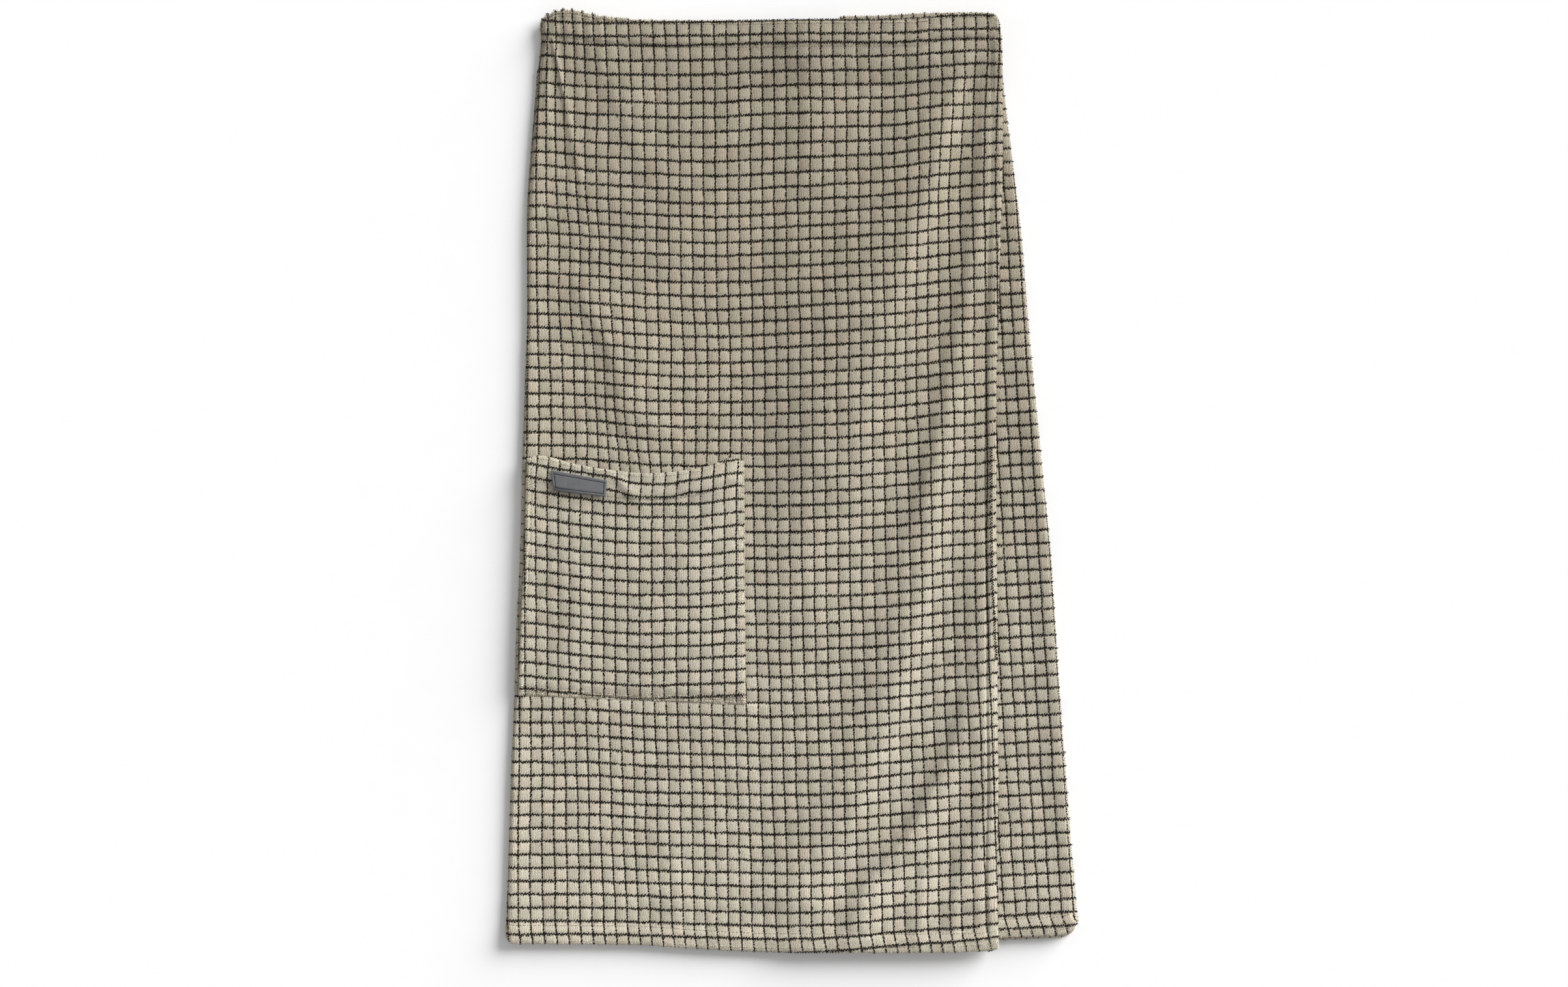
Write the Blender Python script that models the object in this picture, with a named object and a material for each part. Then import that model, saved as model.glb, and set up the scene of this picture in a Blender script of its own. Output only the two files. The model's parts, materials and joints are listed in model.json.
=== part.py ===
"""A sarong of checked terry cloth, wound into a flat tube and laid face up on a table.

One long hemmed cloth goes round from the free edge of the outer flap, over the left fold, under the whole
garment, round the right fold and in below the flap again. Each stretch of it is a closed wall of its own: the
front panel, the back panel and the under lap. They are parted by a thin gap along the folds. A patch pocket
with a sagging mouth lies on the front panel, and a small bare patch label lies on the pocket.

Metres. +X runs across the cloth to the right as seen from above, +Y towards the waist, +Z up from the table.
Places along the garment are given as "down", the distance below the waist line.
"""

import math
from collections import namedtuple

import bmesh
import bpy
import numpy as np

# Cloth
CLOTH = 0.0027  # terry with its pile
HEM = 0.0046  # two plies of it, sewn down
GAP = 0.0003  # between pieces that touch
NOSE = 0.0022  # how far in from an edge its rounding starts
NOSE_END = 0.32  # share of the wall's thickness that is left at the very edge

# Hems, from the edge to the stitching
WAIST_HEM = 0.024
FOOT_HEM = 0.017
FLAP_HEM = 0.0095
POCKET_HEM = 0.024
POCKET_TURN = 0.005
POCKET_TURN_SHARE = 0.7
STITCH_RISE = 0.15  # share of a hem's extra thickness that is left at its stitching
BESIDE_STITCH_RISE = 0.22
STITCH_PULL = 0.004  # how far to each side the stitching draws the cloth in
HEM_TAIL = 0.012  # beyond the stitching, where the hem's thickness has faded out

# Lengths
WAIST_Y = 0.4223  # the waist line
FOOT = 0.8450  # how far down the hem lies at the left fold
WAIST_CARRY = 0.036  # how far from an edge the hems below still hold the cloth up
FOOT_CARRY = 0.039
CARRY_FADE = 0.027

# Folds at the sides of the tube
FOLD_SPARE = 0.0013  # radius of the hollow inside a fold
ROLL = 0.0018  # how much higher the cloth stands along the left fold
ROLL_WIDTH = 0.011
LAP_ROLL = 0.0014
FOLD_ANGLES = (0, 32, 62, 90)

# The hidden edge of the under lap, where the flap steps up onto it
STEP_START = 0.052
STEP_END = 0.021

# Pocket
POCKET_GAPE = 0.0066  # how far its mouth stands off the front panel
POCKET_FLAT = 0.022  # how far round the pocket the ridges below it take to rise
POCKET_CLEAR = 0.004  # and how far from its edge they start
POCKET_TOP = 0.3984  # the highest point of its mouth
POCKET_RIGHT_TOP = -0.0449
POCKET_RIGHT_FOOT = -0.0431
POCKET_FOOT_LEFT = 0.6152
POCKET_FOOT_RIGHT = 0.6236

LABEL_THICK = 0.0012
LABEL_REACH = 0.0035  # the label bridges hollows narrower than this
LABEL_ROWS = 4
LABEL_COLUMNS = 12

# Spacing of the walls' points
FRONT_ROWS = 31
FRONT_SPANS = 19
BACK_SPANS = 13
LAP_SPANS = 7
OTHER_ROWS = 17
POCKET_SPANS = 9
POCKET_ROWS = 6
GATHER_STEP = 0.0055
GATHER_WIDTH = 0.066
GATHER_HEIGHT = 0.0009
GATHER_DEPTH = 0.050
GATHER_FADE = 0.012  # over which they start below the waist, and beside the fold

Side = namedtuple("Side", "down left edge right")
SIDES = (
    Side(0.000, -0.2308, 0.1880, 0.1862),
    Side(0.018, -0.2292, 0.1906, 0.1892),
    Side(0.054, -0.2323, 0.1913, 0.1919),
    Side(0.125, -0.2383, 0.1916, 0.2005),
    Side(0.196, -0.2423, 0.1895, 0.2088),
    Side(0.268, -0.2427, 0.1877, 0.2145),
    Side(0.339, -0.2448, 0.1857, 0.2210),
    Side(0.411, -0.2472, 0.1856, 0.2282),
    Side(0.482, -0.2490, 0.1859, 0.2353),
    Side(0.553, -0.2524, 0.1868, 0.2401),
    Side(0.625, -0.2546, 0.1867, 0.2448),
    Side(0.696, -0.2577, 0.1875, 0.2502),
    Side(0.768, -0.2600, 0.1863, 0.2556),
    Side(0.839, -0.2622, 0.1877, 0.2622),
)

# How far the fold's lower half stands out beyond its upper half, on the left
Slump = namedtuple("Slump", "down out")
SLUMPS = (
    Slump(0.000, 0.0008),
    Slump(0.020, 0.0014),
    Slump(0.054, 0.0020),
    Slump(0.150, 0.0020),
    Slump(0.260, 0.0006),
    Slump(0.400, 0.0000),
    Slump(0.850, 0.0000),
)

LapEdge = namedtuple("LapEdge", "down x")
LAP_EDGES = (
    LapEdge(0.000, 0.0430),
    LapEdge(0.200, 0.0360),
    LapEdge(0.500, 0.0370),
    LapEdge(0.850, 0.0420),
)

# The waist and foot edges: how far above the waist line, or down, they lie along x
Edge = namedtuple("Edge", "x at")
FRONT_WAIST = (
    Edge(-0.2320, -0.0030),
    Edge(-0.2246, 0.0022),
    Edge(-0.2150, 0.0066),
    Edge(-0.2056, 0.0075),
    Edge(-0.1930, 0.0056),
    Edge(-0.1780, 0.0025),
    Edge(-0.1592, 0.0002),
    Edge(-0.0900, -0.0010),
    Edge(0.0400, -0.0004),
    Edge(0.1086, -0.0003),
    Edge(0.1324, 0.0030),
    Edge(0.1480, 0.0050),
    Edge(0.1800, 0.0052),
    Edge(0.1850, 0.0030),
    Edge(0.1890, -0.0030),
)
BACK_WAIST = (
    Edge(-0.2340, -0.0045),
    Edge(-0.2250, 0.0005),
    Edge(-0.2100, 0.0060),
    Edge(-0.1930, 0.0045),
    Edge(-0.1592, -0.0012),
    Edge(0.0400, -0.0018),
    Edge(0.1700, 0.0030),
    Edge(0.1800, 0.0010),
    Edge(0.1890, -0.0060),
)
LAP_WAIST = (
    Edge(0.0400, 0.0028),
    Edge(0.0800, 0.0034),
    Edge(0.1200, 0.0056),
    Edge(0.1700, 0.0062),
    Edge(0.1800, 0.0030),
    Edge(0.1890, -0.0050),
)
FRONT_FOOT = (
    Edge(-0.2630, 0.8395),
    Edge(-0.2560, 0.8440),
    Edge(-0.1500, 0.8448),
    Edge(-0.0700, 0.8495),
    Edge(-0.0200, 0.8514),
    Edge(0.1086, 0.8517),
    Edge(0.1780, 0.8500),
    Edge(0.1880, 0.8480),
)
BACK_FOOT = (
    Edge(-0.2630, 0.8375),
    Edge(-0.2560, 0.8405),
    Edge(-0.1500, 0.8420),
    Edge(0.1000, 0.8440),
    Edge(0.2100, 0.8404),
    Edge(0.2440, 0.8388),
    Edge(0.2545, 0.8350),
    Edge(0.2580, 0.8305),
    Edge(0.2615, 0.8240),
)
LAP_FOOT = (
    Edge(0.0400, 0.8420),
    Edge(0.1800, 0.8390),
    Edge(0.2150, 0.8378),
    Edge(0.2430, 0.8365),
    Edge(0.2545, 0.8328),
    Edge(0.2580, 0.8288),
    Edge(0.2615, 0.8225),
)
POCKET_MOUTH = (
    Edge(-0.2440, 0.4020),
    Edge(-0.2318, POCKET_TOP),
    Edge(-0.2008, 0.4058),
    Edge(-0.1651, 0.4117),
    Edge(-0.1294, 0.4147),
    Edge(-0.1056, 0.4129),
    Edge(-0.0759, 0.4076),
    Edge(-0.0560, 0.4008),
    Edge(-0.0449, 0.4030),
)

# Soft ridges of the front panel, each a row of points down the crest
Crest = namedtuple("Crest", "down x width height")
RIDGES = {
    "upper right": (
        Crest(0.030, 0.1530, 0.012, 0.0000),
        Crest(0.060, 0.1440, 0.012, 0.0028),
        Crest(0.101, 0.1324, 0.013, 0.0044),
        Crest(0.161, 0.1175, 0.014, 0.0048),
        Crest(0.220, 0.1026, 0.015, 0.0042),
        Crest(0.292, 0.0907, 0.016, 0.0028),
        Crest(0.360, 0.0780, 0.018, 0.0000),
    ),
    "long right": (
        Crest(0.150, 0.1800, 0.012, 0.0000),
        Crest(0.232, 0.1660, 0.013, 0.0030),
        Crest(0.292, 0.1502, 0.014, 0.0040),
        Crest(0.369, 0.1371, 0.015, 0.0046),
        Crest(0.434, 0.1205, 0.015, 0.0046),
        Crest(0.518, 0.1056, 0.016, 0.0050),
        Crest(0.607, 0.0878, 0.016, 0.0048),
        Crest(0.684, 0.0640, 0.016, 0.0042),
        Crest(0.750, 0.0491, 0.016, 0.0030),
        Crest(0.815, 0.0402, 0.017, 0.0012),
    ),
    "foot right": (
        Crest(0.620, 0.1700, 0.012, 0.0000),
        Crest(0.655, 0.1560, 0.012, 0.0030),
        Crest(0.696, 0.1383, 0.013, 0.0042),
        Crest(0.750, 0.1205, 0.014, 0.0040),
        Crest(0.815, 0.1060, 0.016, 0.0024),
    ),
    "above the pocket": (
        Crest(0.230, -0.2060, 0.011, 0.0000),
        Crest(0.270, -0.1860, 0.012, 0.0024),
        Crest(0.320, -0.1600, 0.012, 0.0028),
        Crest(0.365, -0.1480, 0.012, 0.0012),
        Crest(0.390, -0.1420, 0.012, 0.0000),
    ),
    "waist left": (
        Crest(0.025, -0.1700, 0.013, 0.0000),
        Crest(0.055, -0.1540, 0.013, 0.0016),
        Crest(0.110, -0.1235, 0.014, 0.0020),
        Crest(0.175, -0.1000, 0.016, 0.0000),
    ),
    "waist middle": (
        Crest(0.020, -0.0312, 0.016, 0.0000),
        Crest(0.080, -0.0330, 0.016, 0.0018),
        Crest(0.170, -0.0290, 0.018, 0.0000),
    ),
    "below the pocket": (
        Crest(0.660, -0.1500, 0.020, 0.0000),
        Crest(0.730, -0.1560, 0.022, 0.0020),
        Crest(0.800, -0.1480, 0.020, 0.0010),
        Crest(0.830, -0.1460, 0.020, 0.0000),
    ),
}

# The label's corners on the pocket, as x and down
Corner = namedtuple("Corner", "x down")
LABEL_CORNERS = (
    Corner(-0.2207, 0.4113),
    Corner(-0.1691, 0.4209),
    Corner(-0.1708, 0.4360),
    Corner(-0.2181, 0.4305),
)

BEIGE = (0.46, 0.42, 0.34, 1)
GREY = (0.12, 0.12, 0.125, 1)
ROUGHNESS = 0.95


def curve(rows, key, value):
    """A smooth function through the rows of a table, with no swing past them, and level beyond its ends."""
    keys = np.array([getattr(row, key) for row in rows])
    values = np.array([getattr(row, value) for row in rows])
    steps = np.diff(values) / np.diff(keys)
    before, after = np.append(steps[0], steps), np.append(steps, steps[-1])
    least = 2 * np.minimum(abs(before), abs(after))
    slopes = np.where(before * after > 0, np.clip(np.gradient(values, keys), -least, least), 0)

    def at(place):
        place = min(max(place, keys[0]), keys[-1])
        i = min(int(np.searchsorted(keys, place, side="right")) - 1, len(keys) - 2)
        span = keys[i + 1] - keys[i]
        t = (place - keys[i]) / span
        rise = (1 + 2 * t) * (1 - t) ** 2 * values[i] + t * t * (3 - 2 * t) * values[i + 1]
        lean = t * (1 - t) ** 2 * slopes[i] - t * t * (1 - t) * slopes[i + 1]
        return float(rise + span * lean)

    return at


def ramp(value, start, end):
    """0 before start, 1 after end, smooth between them."""
    t = min(max((value - start) / (end - start), 0), 1)
    return t * t * (3 - 2 * t)


left_at = curve(SIDES, "down", "left")
edge_at = curve(SIDES, "down", "edge")
right_at = curve(SIDES, "down", "right")
slump_at = curve(SLUMPS, "down", "out")
lap_edge_at = curve(LAP_EDGES, "down", "x")
front_waist_at = curve(FRONT_WAIST, "x", "at")
back_waist_at = curve(BACK_WAIST, "x", "at")
lap_waist_at = curve(LAP_WAIST, "x", "at")
front_foot_at = curve(FRONT_FOOT, "x", "at")
back_foot_at = curve(BACK_FOOT, "x", "at")
lap_foot_at = curve(LAP_FOOT, "x", "at")
pocket_mouth_at = curve(POCKET_MOUTH, "x", "at")


def hem_share(inwards, depth):
    """How much of a hem's extra thickness is there, this far in from the edge: the stitching pulls it in."""
    places = (depth - STITCH_PULL, depth, depth + STITCH_PULL, depth + HEM_TAIL)
    return float(np.interp(inwards, places, (1, STITCH_RISE, BESIDE_STITCH_RISE, 0)))


def nose_share(inwards):
    """How much of the wall's thickness is left this far in from its rounded edge."""
    t = 1 - min(max(inwards, 0) / NOSE, 1)
    return max(math.sqrt(1 - t * t), NOSE_END)


def level(down):
    """Thickness of a whole layer as the next one feels it: its hems carry the cloth a little way in."""
    places = (WAIST_CARRY, WAIST_CARRY + CARRY_FADE, FOOT - FOOT_CARRY - CARRY_FADE, FOOT - FOOT_CARRY)
    return float(np.interp(down, places, (HEM, CLOTH, CLOTH, HEM)))


def away_from_pocket(x, down):
    """0 under the pocket, 1 well clear of it."""
    beyond = max(x - POCKET_RIGHT_FOOT, POCKET_TOP - down, down - POCKET_FOOT_RIGHT)
    return ramp(beyond, POCKET_CLEAR, POCKET_CLEAR + POCKET_FLAT)


CRESTS = [
    (
        rows[0].down,
        rows[-1].down,
        curve(rows, "down", "x"),
        curve(rows, "down", "width"),
        curve(rows, "down", "height"),
    )
    for rows in RIDGES.values()
]


def ridges(x, down):
    """How far the front panel's ridges lift it off what it lies on."""
    lift = 0
    for start, end, x_at, width_at, height_at in CRESTS:
        if start < down < end:
            off = (x - x_at(down)) / width_at(down)
            lift += max(height_at(down), 0) * math.exp(-off * off)
    return lift * away_from_pocket(x, down)


def gathers(x, down):
    """Small ruffles that the waist's elastic pulls up beside the left fold."""
    inwards = x - left_at(down) - fold_reach(down)
    along = ramp(inwards, 0, GATHER_FADE) * (1 - ramp(inwards, GATHER_WIDTH - GATHER_FADE, GATHER_WIDTH))
    wave = 0.5 - 0.5 * math.cos(math.pi * inwards / GATHER_STEP)
    return GATHER_HEIGHT * along * wave * (1 - ramp(down, GATHER_FADE, GATHER_DEPTH))


def roll(inwards, height, down):
    """Extra height along a side fold, less where thick hems are folded."""
    soft = (CLOTH / level(down)) ** 2
    return height * soft * math.exp(-((max(inwards, 0) / ROLL_WIDTH) ** 2))


def under_lap(x, down):
    height = LAP_ROLL * ramp(down, 0.15, 0.35)
    return level(down) + GAP + roll(right_at(down) - fold_reach(down) - x, height, down)


def under_front(x, down):
    """The front panel's inner side: on the back panel, or on the under lap where that lies between them."""
    lap_edge = lap_edge_at(down)
    on_lap = ramp(x, lap_edge - STEP_START, lap_edge - STEP_END)
    rest = level(down) + GAP + on_lap * (level(down) + GAP)
    left_roll = roll(x - left_at(down) - fold_reach(down), ROLL, down)
    return rest + left_roll + ridges(x, down) + gathers(x, down)


def fold_reach(down):
    """Radius of the outside of a side fold."""
    return level(down) + FOLD_SPARE


# kind is waist, field or foot; distance is from that edge, or down the field
Row = namedtuple("Row", "kind distance")

EDGE_STEPS = (0, 0.0007, NOSE)
STITCH_STEPS = (-STITCH_PULL, 0, STITCH_PULL)
WAIST_STEPS = (*EDGE_STEPS, 0.007, 0.014, *(WAIST_HEM + step for step in STITCH_STEPS))
WAIST_STEPS += (WAIST_CARRY, WAIST_CARRY + CARRY_FADE)
FOOT_STEPS = (*EDGE_STEPS, 0.007, *(FOOT_HEM + step for step in STITCH_STEPS))
FOOT_STEPS += (FOOT_HEM + HEM_TAIL, FOOT_CARRY, FOOT_CARRY + CARRY_FADE)
FLAP_STEPS = (*EDGE_STEPS, *(FLAP_HEM + step for step in STITCH_STEPS), FLAP_HEM + HEM_TAIL)
MOUTH_STEPS = (*EDGE_STEPS, 0.008, 0.016, *(POCKET_HEM + step for step in STITCH_STEPS))
MOUTH_STEPS += (POCKET_HEM + HEM_TAIL,)
TURN_STEPS = (*EDGE_STEPS, POCKET_TURN, 2 * POCKET_TURN, POCKET_TURN + HEM_TAIL)
POCKET_LEFT_STEPS = (*EDGE_STEPS, GATHER_STEP, 2 * GATHER_STEP, 3 * GATHER_STEP)


def row_plan(field_rows):
    """The rows of a panel, from the waist down."""
    first, last = WAIST_STEPS[-1], FOOT - FOOT_STEPS[-1]
    rows = [Row("waist", step) for step in WAIST_STEPS]
    rows += [Row("field", first + (last - first) * i / field_rows) for i in range(1, field_rows)]
    return rows + [Row("foot", step) for step in reversed(FOOT_STEPS)]


def spread(start, end, count):
    """The places that part the stretch from start to end into count equal spans."""
    return [start + (end - start) * i / count for i in range(1, count)]


class Panel:
    """A stretch of the wound cloth: its own waist and foot edges, and rows of points across it."""

    def __init__(self, waist_at, foot_at, field_rows):
        self.waist_at = waist_at
        self.foot_at = foot_at
        self.plan = row_plan(field_rows)

    def down(self, row, x):
        """Rows near the waist and the foot follow those edges."""
        if row.kind == "field":
            return row.distance
        if row.kind == "waist":
            return row.distance - self.waist_at(x) * (1 - ramp(row.distance, 0, WAIST_HEM))
        straight = ramp(row.distance, FOOT_HEM, FOOT_HEM + HEM_TAIL)
        return FOOT * straight + self.foot_at(x) * (1 - straight) - row.distance

    def thick(self, row, x, across=0):
        """Thickness of the wall; across is the share of a hem that runs down the side."""
        from_waist = self.down(row, x) + self.waist_at(x)
        from_foot = self.foot_at(x) - self.down(row, x)
        share = max(hem_share(from_waist, WAIST_HEM), hem_share(from_foot, FOOT_HEM))
        return CLOTH + (HEM - CLOTH) * (1 - (1 - share) * (1 - across))

    def pair(self, row, outer, inner, nose=1):
        """The wall's two faces at one place, from (x, z) to points, drawn together towards a rounded edge."""
        if row.kind != "field":
            nose = min(nose, nose_share(row.distance))
        (outer_x, outer_z), (inner_x, inner_z) = outer, inner
        x, z = (outer_x + inner_x) / 2, (outer_z + inner_z) / 2
        y = WAIST_Y - self.down(row, x)
        across, up = (outer_x - inner_x) / 2 * nose, (outer_z - inner_z) / 2 * nose
        return (x + across, y, z + up), (x - across, y, z - up)

    def level_pairs(self, row, xs, under, across=None, edge=None):
        """Pairs along a stretch that lies on something: under gives the height of the wall's lower side."""
        pairs = []
        for x in xs:
            share = across(x) if across else 0
            thick = self.thick(row, x, share)
            nose = nose_share(abs(x - edge)) if edge is not None else 1
            height = under(x, nominal_down(row))
            pairs.append(self.pair(row, (x, height + thick), (x, height), nose))
        return pairs

    def fold_pairs(self, row, side, spine, reach, seam, far):
        """Pairs round half a side fold, from the seam to the face at height far, which is 0 for the lower half."""
        thick = self.thick(row, spine)
        reach_up = far - seam
        inner_up = math.copysign(abs(reach_up) - thick, reach_up)
        pairs = []
        for degrees in FOLD_ANGLES:
            out, up = side * math.cos(math.radians(degrees)), math.sin(math.radians(degrees))
            outer = (spine + out * reach, seam + up * reach_up)
            inner = (spine + out * (reach - thick), seam + up * inner_up)
            pairs.append(self.pair(row, outer, inner))
        return pairs


def nominal_down(row):
    return FOOT - row.distance if row.kind == "foot" else row.distance


def seam_height(under, spine, down):
    """Half way up a side fold, where the upper and the lower panel part."""
    return (under(spine, down) + level(down)) / 2


def wall(name, rows, colour):
    """A closed wall from rows of (outer, inner) points."""
    count, total = len(rows[0]), len(rows[0]) * len(rows)
    points = [outer for row in rows for outer, _ in row] + [inner for row in rows for _, inner in row]
    faces = []
    for i in range(len(rows) - 1):
        for j in range(count - 1):
            face = (i * count + j, (i + 1) * count + j, (i + 1) * count + j + 1, i * count + j + 1)
            faces.append(face)
            faces.append(tuple(corner + total for corner in reversed(face)))
    rim = list(range(count))
    rim += [i * count + count - 1 for i in range(1, len(rows))]
    rim += [(len(rows) - 1) * count + j for j in range(count - 2, -1, -1)]
    rim += [i * count for i in range(len(rows) - 2, 0, -1)]
    for here, after in zip(rim, rim[1:] + rim[:1]):
        faces.append((here, after, after + total, here + total))
    mesh = bpy.data.meshes.new(name)
    mesh.from_pydata(points, [], faces)
    shaper = bmesh.new()
    shaper.from_mesh(mesh)
    bmesh.ops.recalc_face_normals(shaper, faces=shaper.faces)
    shaper.to_mesh(mesh)
    shaper.free()
    mesh.shade_smooth()
    mesh.set_sharp_from_angle(angle=math.radians(50))
    mesh.materials.append(material(name, colour))
    piece = bpy.data.objects.new(name, mesh)
    bpy.context.scene.collection.objects.link(piece)
    return piece


def material(name, colour):
    made = bpy.data.materials.new(name)
    made.use_nodes = True
    shader = made.node_tree.nodes["Principled BSDF"]
    shader.inputs["Base Color"].default_value = colour
    shader.inputs["Roughness"].default_value = ROUGHNESS
    shader.inputs["Metallic"].default_value = 0
    return made


def build_front():
    panel = Panel(front_waist_at, front_foot_at, FRONT_ROWS)
    gathers_end = int(GATHER_WIDTH / GATHER_STEP)
    rows = []
    for row in panel.plan:
        down = nominal_down(row)
        left, edge, reach = left_at(down), edge_at(down), fold_reach(down)
        spine = left + reach
        seam = seam_height(under_front, spine, down) + GAP / 2
        top = under_front(spine, down) + panel.thick(row, spine)
        xs = [spine + GATHER_STEP * i for i in range(1, gathers_end + 1)]
        xs += spread(xs[-1], edge - FLAP_STEPS[-1], FRONT_SPANS)
        xs += [edge - step for step in reversed(FLAP_STEPS)]
        pairs = panel.fold_pairs(row, -1, spine, reach, seam, top)
        pairs += panel.level_pairs(row, xs, under_front, lambda x: hem_share(edge - x, FLAP_HEM), edge)
        rows.append(pairs)
    wall("front_panel", rows, BEIGE)


def build_back():
    panel = Panel(back_waist_at, back_foot_at, OTHER_ROWS)
    rows = []
    for row in panel.plan:
        down = nominal_down(row)
        reach = fold_reach(down)
        left, right = left_at(down) + reach, right_at(down) - reach
        left_seam = seam_height(under_front, left, down) - GAP / 2
        right_seam = seam_height(under_lap, right, down) - GAP / 2
        pairs = panel.fold_pairs(row, -1, left, reach + slump_at(down), left_seam, 0)
        xs = spread(left, right, BACK_SPANS)
        flat = panel.level_pairs(row, xs, lambda x, down: 0)
        pairs += [(lower, upper) for upper, lower in flat]
        pairs += panel.fold_pairs(row, 1, right, reach, right_seam, 0)[::-1]
        rows.append(pairs)
    wall("back_panel", rows, BEIGE)


def build_lap():
    panel = Panel(lap_waist_at, lap_foot_at, OTHER_ROWS)
    rows = []
    for row in panel.plan:
        down = nominal_down(row)
        edge, reach = lap_edge_at(down), fold_reach(down)
        spine = right_at(down) - reach
        seam = seam_height(under_lap, spine, down) + GAP / 2
        top = under_lap(spine, down) + panel.thick(row, spine)
        xs = [edge + step for step in EDGE_STEPS] + spread(edge + NOSE, spine, LAP_SPANS)
        pairs = panel.level_pairs(row, xs, under_lap, edge=edge)
        pairs += panel.fold_pairs(row, 1, spine, reach, seam, top)[::-1]
        rows.append(pairs)
    wall("under_lap", rows, BEIGE)


def pocket_left(down):
    return left_at(down) + fold_reach(down)


def pocket_right(down):
    along = (down - POCKET_MOUTH[-1].at) / (POCKET_FOOT_RIGHT - POCKET_MOUTH[-1].at)
    return POCKET_RIGHT_TOP + (POCKET_RIGHT_FOOT - POCKET_RIGHT_TOP) * along


def pocket_foot(x):
    along = (x - POCKET_MOUTH[0].x) / (POCKET_MOUTH[-1].x - POCKET_MOUTH[0].x)
    return POCKET_FOOT_LEFT + (POCKET_FOOT_RIGHT - POCKET_FOOT_LEFT) * along


def pocket_lift(x, down):
    """How far the pocket stands off the front panel: most at its mouth, nothing along its stitched sides."""
    left, right = pocket_left(down), pocket_right(down)
    across = min(max((x - left) / (right - left), 0), 1)
    along = min(max((down - pocket_mouth_at(x)) / (pocket_foot(x) - pocket_mouth_at(x)), 0), 1)
    return GAP + POCKET_GAPE * (1 - (2 * across - 1) ** 6) * (1 - along**3)


def pocket_under(x, down):
    return under_front(x, down) + CLOTH + pocket_lift(x, down)


def pocket_thick(x, down):
    from_mouth = down - pocket_mouth_at(x)
    from_side = min(x - pocket_left(down), pocket_right(down) - x, pocket_foot(x) - down)
    share = max(hem_share(from_mouth, POCKET_HEM), POCKET_TURN_SHARE * hem_share(from_side, POCKET_TURN))
    return CLOTH + (HEM - CLOTH) * share


def pocket_top(x, down):
    return pocket_under(x, down) + pocket_thick(x, down)


def pocket_down(kind, step, top, bottom):
    """Where a row of the pocket lies between its mouth and its foot, at one x."""
    if kind == "mouth":
        return top + step
    if kind == "foot":
        return bottom - step
    first, last = top + MOUTH_STEPS[-1], bottom - TURN_STEPS[-1]
    return first + (last - first) * step


def build_pocket():
    plan = [("mouth", step) for step in MOUTH_STEPS]
    plan += [("field", share) for share in spread(0, 1, POCKET_ROWS)]
    plan += [("foot", step) for step in reversed(TURN_STEPS)]
    rows = []
    for kind, step in plan:
        nominal = pocket_down(kind, step, POCKET_MOUTH[0].at, POCKET_FOOT_LEFT)
        left, right = pocket_left(nominal), pocket_right(nominal)
        xs = [left + inwards for inwards in POCKET_LEFT_STEPS]
        xs += spread(xs[-1], right - TURN_STEPS[-1], POCKET_SPANS)
        xs += [right - inwards for inwards in reversed(TURN_STEPS)]
        pairs = []
        for x in xs:
            top, bottom = pocket_mouth_at(x), pocket_foot(x)
            down = pocket_down(kind, step, top, bottom)
            nose = min(nose_share(inwards) for inwards in (down - top, bottom - down, x - left, right - x))
            thick = pocket_thick(x, down)
            middle = pocket_under(x, down) + thick / 2
            half = thick / 2 * nose
            pairs.append(((x, WAIST_Y - down, middle + half), (x, WAIST_Y - down, middle - half)))
        rows.append(pairs)
    wall("pocket", rows, BEIGE)


def build_label():
    """The label's points lie between its four corners and ride on the pocket's highest points round them."""
    first, second, third, fourth = LABEL_CORNERS
    near = [(LABEL_REACH * i, LABEL_REACH * j) for i in (-1, 0, 1) for j in (-1, 0, 1)]
    rows = []
    for i in range(LABEL_ROWS + 1):
        pairs = []
        for j in range(LABEL_COLUMNS + 1):
            t, s = i / LABEL_ROWS, j / LABEL_COLUMNS
            weights = ((1 - t) * (1 - s), (1 - t) * s, t * s, t * (1 - s))
            corners = (first, second, third, fourth)
            x = sum(w * corner.x for w, corner in zip(weights, corners))
            down = sum(w * corner.down for w, corner in zip(weights, corners))
            under = max(pocket_top(x + dx, down + dd) for dx, dd in near) + GAP
            y = WAIST_Y - down
            pairs.append(((x, y, under + LABEL_THICK), (x, y, under)))
        rows.append(pairs)
    wall("label", rows, GREY)


def main():
    for old in list(bpy.data.objects):
        bpy.data.objects.remove(old)
    build_front()
    build_back()
    build_lap()
    build_pocket()
    build_label()


main()
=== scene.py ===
"""The looks of a checked terry sarong, wound into a flat tube and laid face up.

The cloth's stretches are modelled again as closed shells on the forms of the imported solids, with the woven
check as relief: each square of pile stands up between sunk dark lines. The check itself is drawn by the
material, from a UV map whose unit is one square, so that lines and relief stay together. Metres, +X to the
right as seen from above, +Y to the waist, +Z up. "down" is the distance below the waist line.
"""

import json
import math
from collections import namedtuple

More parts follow.
